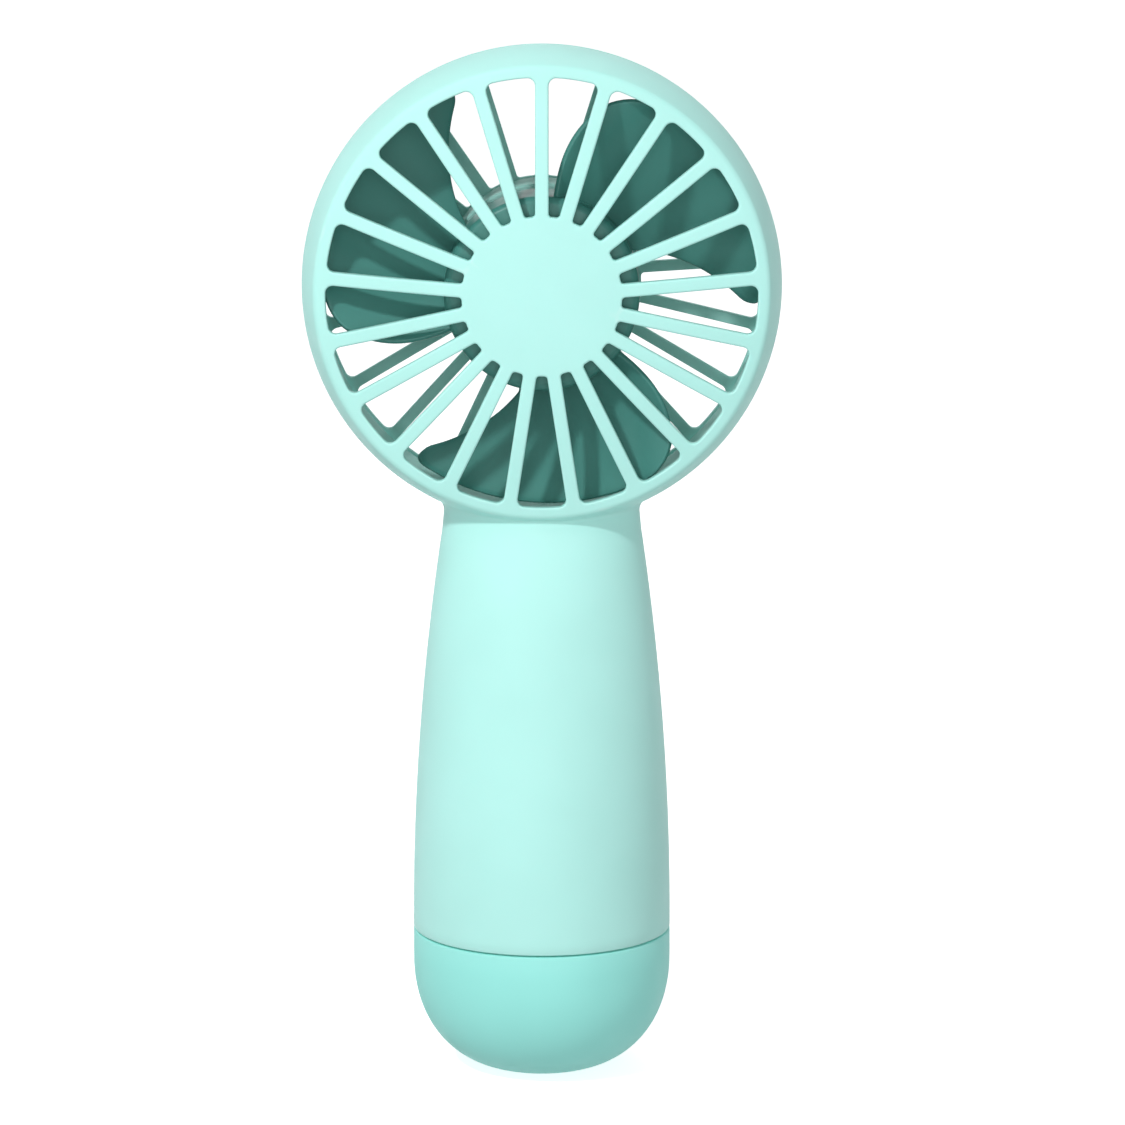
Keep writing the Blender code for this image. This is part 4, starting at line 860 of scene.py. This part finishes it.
def head():
    bm = bmesh.new()
    add_grille(bm, FRONT_SLOT, FRONT_FACE_START, FRONT_RIM[0], front_face, 1)
    add_grille(bm, REAR_SLOT, REAR_FACE_START, REAR_RIM[0], rear_face, -1)
    angles = ring_angles((ARC_STEPS + CORNER_STEPS // 2) * 2)
    for profile in (rim_profile(), duct_profile()):
        skin(bm, [ring(*point, angles, on_axis) for point in profile])
    return piece("head", bm)


# ---- Casing ----


def thread_ridge(root_radius, outward, start_z):
    """A helical ridge that stands out of a round wall, with its root sunk a little into it."""
    half = THREAD_WIDTH / 2
    root, tip = -THREAD_SINK * outward, THREAD_DEPTH * outward
    crest, shoulder_share, tip_share = THREAD_CREST
    shoulder, end = half * shoulder_share, half * tip_share
    section = [(root, -half), (root, half), (tip * crest, shoulder), (tip, end)]
    section += [(tip, -end), (tip * crest, -shoulder)]
    rows = []
    for step in range(THREAD_STEPS + 1):
        turn = FULL_TURN * THREAD_TURNS * step / THREAD_STEPS
        height = start_z + THREAD_PITCH * turn / FULL_TURN
        fade = min(1, step / THREAD_FADE, (THREAD_STEPS - step) / THREAD_FADE)
        row = []
        for out, up in section:
            reach = out if out * outward < 0 else out * fade
            row.append(Vector((*polar(root_radius + reach, turn + THREAD_START), height + up)))
        rows.append(row)
    return piece("thread", loft(rows))


def spigot():
    """The spigot as a solid plug with the seal's groove round it."""
    reach = SEAL_THICKNESS + GAP
    groove = SEAL_RADIUS - reach
    profile = [
        (0, SPIGOT_BOTTOM_Z),
        (SPIGOT_RADIUS - SPIGOT_CHAMFER, SPIGOT_BOTTOM_Z),
        (SPIGOT_RADIUS, SPIGOT_BOTTOM_Z + SPIGOT_CHAMFER),
        (SPIGOT_RADIUS, SEAL_Z - reach),
        (groove, SEAL_Z - reach),
        (groove, SEAL_Z + reach),
        (SPIGOT_RADIUS, SEAL_Z + reach),
        (SPIGOT_RADIUS, SHOULDER_Z + SPIGOT_OVERLAP),
        (0, SHOULDER_Z + SPIGOT_OVERLAP),
    ]
    return piece("spigot", turned(profile, SPIGOT_SEGMENTS))


def handle_hollow():
    rows = [handle_row(z, -WALL) for z in levels(SHOULDER_Z, NECK_FLOOR_Z, HOLLOW_STEP)]
    return piece("hollow", loft(rows))


def case_screw_places():
    return [(side * x, z) for x, z in CASE_SCREWS for side in (-1, 1)]


def case_bosses():
    posts = []
    for place in case_screw_places():
        post = rod("post", CASE_BOSS_RADIUS, -CASE_BOSS_REACH, CASE_BOSS_REACH, place, facing)
        posts.append(boolean(post, "INTERSECT", [handle_outside(-WALL / 2)]))
    return posts


def case_openings():
    holes = []
    for place in case_screw_places():
        ends = (CASE_SCREW_SEAT_Y, OUTSIDE_Y)
        holes.append(rod("counterbore", SCREW_HEAD_RADIUS + GAP, *ends, place, facing))
    place, ends = (0, BUTTON_Z), (INSIDE_Y, OUTSIDE_Y)
    holes.append(rod("button_hole", BUTTON_RADIUS + GAP, *ends, place, facing, BUTTON_HOLE_SEGMENTS))
    seat_ends = (INSIDE_Y, BUTTON_SEAT_Y)
    holes.append(rod("button_seat", BUTTON_SEAT_RADIUS, *seat_ends, place, facing, SEAT_HOLE_SEGMENTS))
    holes.append(rod("lens_hole", LENS_RADIUS + GAP, *ends, (0, LENS_Z), facing))
    width, height = PORT_WIDTH + 2 * GAP, PORT_HEIGHT + 2 * GAP
    port = rounded_rectangle(width, height, PORT_ROUND, (0, PORT_Z))
    holes.append(piece("port", prism(port, PORT_CUT_Y, OUTSIDE_Y, facing)))
    return holes


def slab(name, low, high):
    """A block that covers the whole fan between two depths."""
    block = rectangle(-SLAB_WIDTH / 2, SLAB_WIDTH / 2, -SLAB_MARGIN, HEIGHT + SLAB_MARGIN)
    return piece(name, prism(block, low, high, facing))


def seam_grooves():
    """The groove along the seam of the two shells, round the handle and round the head."""
    across = slab("handle_groove", -GAP / 2, GAP / 2)
    cut(across, handle_outside(-SEAM_DEPTH), slab_above_neck())
    inner, outer = HEAD_RADIUS - SEAM_DEPTH, HEAD_RADIUS + SEAM_DEPTH
    section = rectangle(inner, outer, -GAP / 2, GAP / 2)
    washer = piece("head_groove", turned(section, SEAM_SEGMENTS, on_axis))
    return across, cut(washer, handle_outside(-SEAM_DEPTH))


def slab_above_neck():
    """A block that covers the head, down to just under the neck's fillet."""
    width = SLAB_WIDTH + SLAB_MARGIN
    block = rectangle(-width, width, NECK_Z + 1, 2 * HEIGHT)
    return piece("above_neck", prism(block, -SLAB_MARGIN, SLAB_MARGIN, facing))


def motor_cup():
    inner = HUB_RADIUS - HUB_WALL
    low, high = CUP_FRONT_Y, rear_face(CUP_OUTER) - CUP_SINK
    profile = [(CUP_OUTER, high), (CUP_OUTER, low + CUP_EDGE), (CUP_OUTER - CUP_EDGE, low)]
    profile += [(inner, low), (inner, high)]
    return piece("cup", turned(profile, CUP_SEGMENTS, on_axis))


def build_casing(materials):
    thread = thread_ridge(SPIGOT_RADIUS, 1, SPIGOT_THREAD_Z)
    casing = join(head(), handle_outside(), spigot(), thread)
    low, high = SPIGOT_BOTTOM_Z - SPIGOT_OVERLAP, SHOULDER_Z + 2 * SPIGOT_OVERLAP
    bore = rod("bore", SPIGOT_BORE, low, high, (0, 0), plan, BORE_SEGMENTS)
    cut(casing, handle_hollow(), bore)
    join(casing, *case_bosses())
    cut(casing, *case_openings())
    rear = add_object("casing_rear", casing.data.copy())
    casing.name = "casing_front"
    cut(casing, slab("behind", -SEAM_GAP / 2, SLAB_DEPTH), *seam_grooves())
    cut(rear, slab("before", -SLAB_DEPTH, SEAM_GAP / 2), *seam_grooves())
    join(rear, motor_cup())
    for made, node in ((casing, "front_shell"), (rear, "rear_shell")):
        finish_piece(made, "housing", "mint_shell", materials, node)


def clean(made):
    """Removes the slivers that the Booleans leave, and faces that hang on nothing."""
    bm = bmesh.new()
    bm.from_mesh(made.data)
    bmesh.ops.remove_doubles(bm, verts=bm.verts, dist=SLIVER)
    bmesh.ops.triangulate(bm, faces=[face for face in bm.faces if len(face.verts) > 4])
    bmesh.ops.dissolve_degenerate(bm, edges=bm.edges, dist=SLIVER)
    stray = [face for face in bm.faces if all(len(edge.link_faces) < 2 for edge in face.edges)]
    bmesh.ops.delete(bm, geom=stray, context="FACES")
    bm.to_mesh(made.data)
    bm.free()
    return smooth(made)


def finish_piece(made, body, slot, materials, *nodes):
    """Cleans a piece, gives it the material of its slot, puts it under its body, and hides the CAD
    nodes it replaces.
    """
    clean(made)
    made.data.materials.clear()
    made.data.materials.append(materials[slot])
    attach(made, body)
    if nodes:
        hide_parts(*nodes)
    return made


# ---- Base cap ----


def cap_inside():
    """The cap's inner profile, from its floor to its mouth."""
    start, end = (CAP_FLOOR_RADIUS, CAP_FLOOR), (CAP_BORE, CAP_BORE_START_Z)
    curve = curve_through(start, CAP_INSIDE_CORNER, end, CAP_BORE_ROWS)
    mouth = [(CAP_BORE, CAP_TOP - CAP_MOUTH_CHAMFER), (CAP_BORE + CAP_MOUTH_CHAMFER, CAP_TOP)]
    return [(0, CAP_FLOOR), start, *curve, end, *mouth]


def cap_outside():
    """The cap's outer profile, from its rounded top edge to the foot."""
    profile = [(HANDLE_RADIUS - SEAM_ROUND, CAP_TOP)]
    profile.append((HANDLE_RADIUS - SEAM_ROUND / 3, CAP_TOP - SEAM_ROUND / 3))
    profile.append((HANDLE_RADIUS, CAP_TOP - SEAM_ROUND))
    spread = HANDLE_RADIUS - FOOT_RADIUS
    for bend in bends(CAP_ROWS):
        inwards, down = [max(part, 0) ** (2 / CAP_ROUNDNESS) for part in polar(1, bend)]
        profile.append((FOOT_RADIUS + spread * inwards, CAP_ROUND_HEIGHT * (1 - down)))
    return profile + [(0, 0)]


def build_cap(materials):
    cap = piece("screw_cap", turned(cap_inside() + cap_outside(), CAP_SEGMENTS))
    join(cap, thread_ridge(CAP_BORE, -1, CAP_THREAD_Z))
    finish_piece(cap, "base_cap", "cap", materials, "base_cap")
    section = circle(SEAL_THICKNESS, SEAL_STEPS, (SEAL_RADIUS, SEAL_Z))
    seal = piece("seal", turned(section, CAP_SEGMENTS))
    finish_piece(seal, "housing", "rubber", materials, "seal_ring")


# ---- Impeller ----


def blade_angles(share):
    """Leading and trailing edge angles of a blade from root (0) to tip (1)."""
    lead = LEAD_ROOT_ANGLE - LEAD_SWEEP * max(share, 0) ** LEAD_BEND
    trail = TRAIL_ROOT_ANGLE - TRAIL_SWEEP * share
    return math.radians(lead), math.radians(trail)


def corner_drop(across):
    """How far a rounded outer corner lowers the blade's tip, at a share of the way across."""
    lead, trail = blade_angles(1)
    inwards = BLADE_CORNER - min(across, 1 - across) * (lead - trail) * BLADE_TIP
    if inwards <= 0:
        return 0
    return BLADE_CORNER - math.sqrt(BLADE_CORNER**2 - inwards**2)


def blade_point(share, across):
    """A point of a blade's middle surface: share is from root to tip, across from edge to edge."""
    root = HUB_RADIUS - BLADE_SINK
    tip = BLADE_TIP_LEAD + (BLADE_TIP - BLADE_TIP_LEAD) * across - corner_drop(across)
    radius = root + (tip - root) * share
    lead, trail = blade_angles((radius - HUB_RADIUS) / (BLADE_TIP - HUB_RADIUS))
    angle = lead + (trail - lead) * across
    rear = BLADE_ROOT_REAR_Y + (BLADE_REAR_Y - BLADE_ROOT_REAR_Y) * share
    camber = BLADE_CAMBER * math.sin(math.pi * across)
    x, z = polar(radius, angle)
    return Vector((x, BLADE_FRONT_Y + (rear - BLADE_FRONT_Y) * across + camber, z + HEAD_Z))


def spread_ends(count, power):
    """Shares from 0 to 1 that lie closer together towards both ends."""
    shares = []
    for k in range(count + 1):
        aside = 2 * k / count - 1
        shares.append(0.5 + 0.5 * math.copysign(1 - (1 - abs(aside)) ** power, aside))
    return shares


BLADE_SHARES = [k / 20 for k in range(20)] + [0.975, 0.99, 1.0]  # closer at the rounded tip
BLADE_COLUMNS = spread_ends(count=48, power=1.8)


def edge_thinning(share, across):
    """The blade's thickness as a share of its full one: its edges are rounded."""
    lead, trail = blade_angles(share)
    from_side = min(across, 1 - across) * (lead - trail) * BLADE_TIP
    inwards = min(from_side, (1 - share) * BLADE_SPAN * BLADE_TIP)
    radius = BLADE_THICKNESS / 2
    if inwards >= radius:
        return 1.0
    rounding = math.sqrt(1 - (1 - inwards / radius) ** 2)
    return BLADE_EDGE_SHARE + (1 - BLADE_EDGE_SHARE) * rounding


def blade_side(middle, half):
    """The points of one side of a blade, half its thickness away from its middle surface."""
    rows, columns = len(BLADE_SHARES) - 1, len(BLADE_COLUMNS) - 1
    side = []
    for i, share in enumerate(BLADE_SHARES):
        row = []
        for j, column in enumerate(BLADE_COLUMNS):
            along = middle[min(i + 1, rows)][j] - middle[max(i - 1, 0)][j]
            across = middle[i][min(j + 1, columns)] - middle[i][max(j - 1, 0)]
            normal = across.cross(along).normalized()
            row.append(middle[i][j] + normal * half * edge_thinning(share, column))
        side.append(row)
    return side


def blade(index):
    """One blade as a closed shell: the middle surface thickened both ways."""
    bm = bmesh.new()
    middle = [[blade_point(share, across) for across in BLADE_COLUMNS] for share in BLADE_SHARES]
    sides = []
    for half in (-BLADE_THICKNESS / 2, BLADE_THICKNESS / 2):
        sides.append([[bm.verts.new(p) for p in row] for row in blade_side(middle, half)])
    rows, columns = len(BLADE_SHARES) - 1, len(BLADE_COLUMNS) - 1
    for i in range(rows):
        for j in range(columns):
            for side in sides:
                bm.faces.new((side[i][j], side[i + 1][j], side[i + 1][j + 1], side[i][j + 1]))
    front, back = sides
    for j in range(columns):
        for i in (0, rows):
            bm.faces.new((front[i][j], front[i][j + 1], back[i][j + 1], back[i][j]))
    for i in range(rows):
        for j in (0, columns):
            bm.faces.new((front[i][j], front[i + 1][j], back[i + 1][j], back[i][j]))
    turn = Matrix.Rotation(-FULL_TURN * index / BLADES, 3, "Y")
    bmesh.ops.rotate(bm, verts=bm.verts, cent=(0, 0, HEAD_Z), matrix=turn)
    return piece("blade", bm)


def build_impeller(materials):
    inner = HUB_RADIUS - HUB_WALL
    front_inside = HUB_FRONT_Y + HUB_FRONT_WALL
    profile = [(0, HUB_FRONT_Y)]
    for bend in bends(HUB_ROUND_STEPS):
        out = HUB_RADIUS - HUB_ROUND * (1 - math.sin(bend))
        profile.append((out, HUB_FRONT_Y + HUB_ROUND * (1 - math.cos(bend))))
    profile += [(HUB_RADIUS, HUB_REAR_Y - HUB_EDGE), (HUB_RADIUS - HUB_EDGE, HUB_REAR_Y)]
    profile += [(inner, HUB_REAR_Y), (inner, front_inside), (0, front_inside)]
    hub = piece("fan_impeller", turned(profile, HUB_SEGMENTS, on_axis))
    join(hub, *[blade(index) for index in range(BLADES)])
    finish_piece(hub, "impeller", "impeller", materials, "impeller")


# ---- Rear details ----


def button_profile():
    """Radius and depth below the face of the button's rows, from its centre to its edge."""
    profile = []
    for row in range(BUTTON_ROWS + 1):
        radius = (BUTTON_RADIUS - BUTTON_BEVEL) * row / BUTTON_ROWS
        dish = DISH_DEPTH * (1 - (radius / DISH_RADIUS) ** 2) if radius < DISH_RADIUS else 0.0
        profile.append((radius, dish))
    return profile + [(BUTTON_RADIUS - inside, drop) for inside, drop in BUTTON_EDGE]


def build_button(materials):
    """A round button whose face follows the handle, with a shallow finger dish and a raised rim."""
    face_y = node_box("power_button")[1].y
    placed = []
    for radius, drop in button_profile():
        row = []
        for k in range(BUTTON_SEGMENTS):
            x, z = polar(radius, FULL_TURN * k / BUTTON_SEGMENTS)
            width, depth = handle_half_sizes(z + BUTTON_Z, BUTTON_PROUD)
            y = depth * math.sqrt(1 - (x / width) ** 2)
            row.append(Vector((x, min(y, face_y) - drop, z + BUTTON_Z)))
        placed.append(row)
    placed.append([Vector((p.x, BUTTON_SEAT_Y - GAP, p.z)) for p in placed[-1]])
    placed.append([Vector((0, BUTTON_SEAT_Y - GAP, BUTTON_Z))] * BUTTON_SEGMENTS)
    bm = bmesh.new()
    skin(bm, placed)
    finish_piece(piece("button_cap", bm), "power_button", "mint_shell", materials, "power_button")


def dome(radius, base, height, steps):
    """Profile points of a dome on a round base, from its rim to just before its top."""
    inner = bends(steps)[1:-1]
    return [(radius * math.cos(bend), base + height * math.sin(bend)) for bend in inner]


def screw_cross(centre, seat):
    """The two cutters of a screw's cross recess."""
    arm = SCREW_HEAD_RADIUS * CROSS_ARM
    x, z = centre
    tools = []
    for across, up in ((arm, CROSS_HALF_WIDTH), (CROSS_HALF_WIDTH, arm)):
        bar = rectangle(x - across, x + across, z - up, z + up)
        ends = [seat + end for end in CROSS_ENDS]
        tools.append(piece("cross", prism(bar, *ends, facing)))
    return tools


def build_screws(materials):
    """The four case screws: domed heads with a cross recess, deep in their counterbores."""
    seat = CASE_SCREW_SEAT_Y + GAP
    rim = seat + SCREW_HEAD_SIDE
    profile = [(0, seat), (SCREW_HEAD_RADIUS, seat), (SCREW_HEAD_RADIUS, rim)]
    profile += dome(SCREW_HEAD_RADIUS, rim, SCREW_HEAD_DOME, SCREW_DOME_STEPS)
    profile.append((0, rim + SCREW_HEAD_DOME))
    for number, centre in enumerate(case_screw_places(), 1):
        head_mesh = turned(profile, SCREW_SEGMENTS, facing, centre)
        screw = piece(f"case_screw_{number}", head_mesh)
        cut(screw, *screw_cross(centre, seat))
        finish_piece(screw, "housing", "steel", materials, f"shell_screw_{number}")


def build_lens(materials):
    """The lamp's lens: a small dome set flush in the handle."""
    low, high = node_box("indicator_lens")
    rim = high.y - LENS_DOME
    profile = [(0, low.y), (LENS_RADIUS, low.y), (LENS_RADIUS, rim)]
    profile += dome(LENS_RADIUS, rim, LENS_DOME, LENS_DOME_STEPS)
    profile.append((0, high.y))
    lens = piece("lamp_lens", turned(profile, LENS_SEGMENTS, facing, (0, LENS_Z)))
    finish_piece(lens, "housing", "lens", materials, "indicator_lens")


def dress_frame(materials):
    """Gives every CAD node that still shows the finished material of its slot."""
    for entry in frame["record"]["subparts"]:
        node = frame["nodes"][entry["node"]]
        if not node.hide_render:
            node.data.materials.clear()
            node.data.materials.append(materials[entry["material_slot"]])


# ---- Camera, floor and light, with distances in metres ----

PITCH = math.radians(10.5)
CAMERA_DISTANCE = 0.888
LOOK_AT = Vector((0.0, 0.0, 0.0899))
FOCAL_LENGTH = 163.2  # millimetres, like the sensor's width
SENSOR_WIDTH = 36.0
SHIFT_X = 0.0184
FLOOR_REACH = 4.0
WALL_REACH = 7.0
WALL_HEIGHT = 5.0
WALL_ROWS = 16
WALL_SEGMENTS = 96
FLOOR_GLOW = 0.65
SURROUNDINGS = 0.425  # strength of the white light from all round
LIGHT_DISTANCE = 1.1
KEY_SIZE = 0.07
SOFT_SIZE = 0.6
KEY_BRIGHTNESS = 0.49
FILL_BRIGHTNESS = 0.3
BACK_BRIGHTNESS = 0.1


def build_camera():
    data = bpy.data.cameras.new("camera")
    data.lens = FOCAL_LENGTH
    data.sensor_width = SENSOR_WIDTH
    data.shift_x = SHIFT_X
    camera = add_object("camera", data)
    back = Vector((0, -math.cos(PITCH), math.sin(PITCH)))
    camera.location = LOOK_AT + back * CAMERA_DISTANCE
    camera.rotation_euler = (RIGHT_ANGLE - PITCH, 0, 0)
    bpy.context.scene.camera = camera


def aim(azimuth, elevation):
    """The direction to a light: degrees to the right of the fan's front, and degrees up."""
    across, up = math.radians(azimuth), math.radians(elevation)
    return Vector((math.sin(across) * math.cos(up), -math.cos(across) * math.cos(up), math.sin(up)))


def area_light(name, direction, size, brightness):
    """A square light that faces the fan, and lights a white surface turned to it to a brightness."""
    data = bpy.data.lights.new(name, "AREA")
    data.size = size
    data.energy = brightness * (math.pi * LIGHT_DISTANCE) ** 2
    light = add_object(name, data)
    light.location = LOOK_AT + direction * LIGHT_DISTANCE
    light.rotation_euler = direction.to_track_quat("Z", "Y").to_euler()


def build_floor():
    """A plain pale floor that glows like a photographer's table, and bends up far away on all sides."""
    profile = [(0, 0), (FLOOR_REACH, 0)]
    profile += curve_through(profile[-1], (WALL_REACH, 0), (WALL_REACH, WALL_HEIGHT), WALL_ROWS)
    profile.append((WALL_REACH, WALL_HEIGHT))
    bm = bmesh.new()
    angles = [FULL_TURN * k / WALL_SEGMENTS for k in range(WALL_SEGMENTS)]
    skin(bm, [ring(*point, angles, plan) for point in profile])
    bmesh.ops.remove_doubles(bm, verts=bm.verts, dist=WELD)
    mesh = bpy.data.meshes.new("floor")
    bm.to_mesh(mesh)
    bm.free()
    floor = smooth(add_object("floor", mesh))
    floor.visible_diffuse = False
    m = Nodes("floor")
    m.colour(m.ramp(m.noise(3.0), ((0.3, 0.93), (0.7, 0.95))))
    m.set(Roughness=0.9, Specular_IOR_Level=0.1)
    m.set(Emission_Color=(1, 1, 1, 1), Emission_Strength=FLOOR_GLOW)
    mesh.materials.append(m.material)


def build_world():
    """Even white surroundings, and colours shown without a film curve."""
    world = bpy.data.worlds.new("studio")
    world.use_nodes = True
    background = world.node_tree.nodes["Background"]
    background.inputs["Color"].default_value = (1.0, 1.0, 1.0, 1)
    background.inputs["Strength"].default_value = SURROUNDINGS
    bpy.context.scene.world = world
    bpy.context.scene.view_settings.view_transform = "Standard"


def build_lights():
    """A small key light high on the left, a soft fill in front, and a weak one behind."""
    area_light("key", aim(-30, 41), KEY_SIZE, KEY_BRIGHTNESS)
    area_light("fill", aim(0, 5), SOFT_SIZE, FILL_BRIGHTNESS)
    area_light("back", aim(172, 48), SOFT_SIZE, BACK_BRIGHTNESS)


def main():
    materials = make_materials()
    build_camera()
    build_floor()
    build_world()
    build_lights()
    build_casing(materials)
    build_cap(materials)
    build_impeller(materials)
    build_button(materials)
    build_screws(materials)
    build_lens(materials)
    dress_frame(materials)


main()
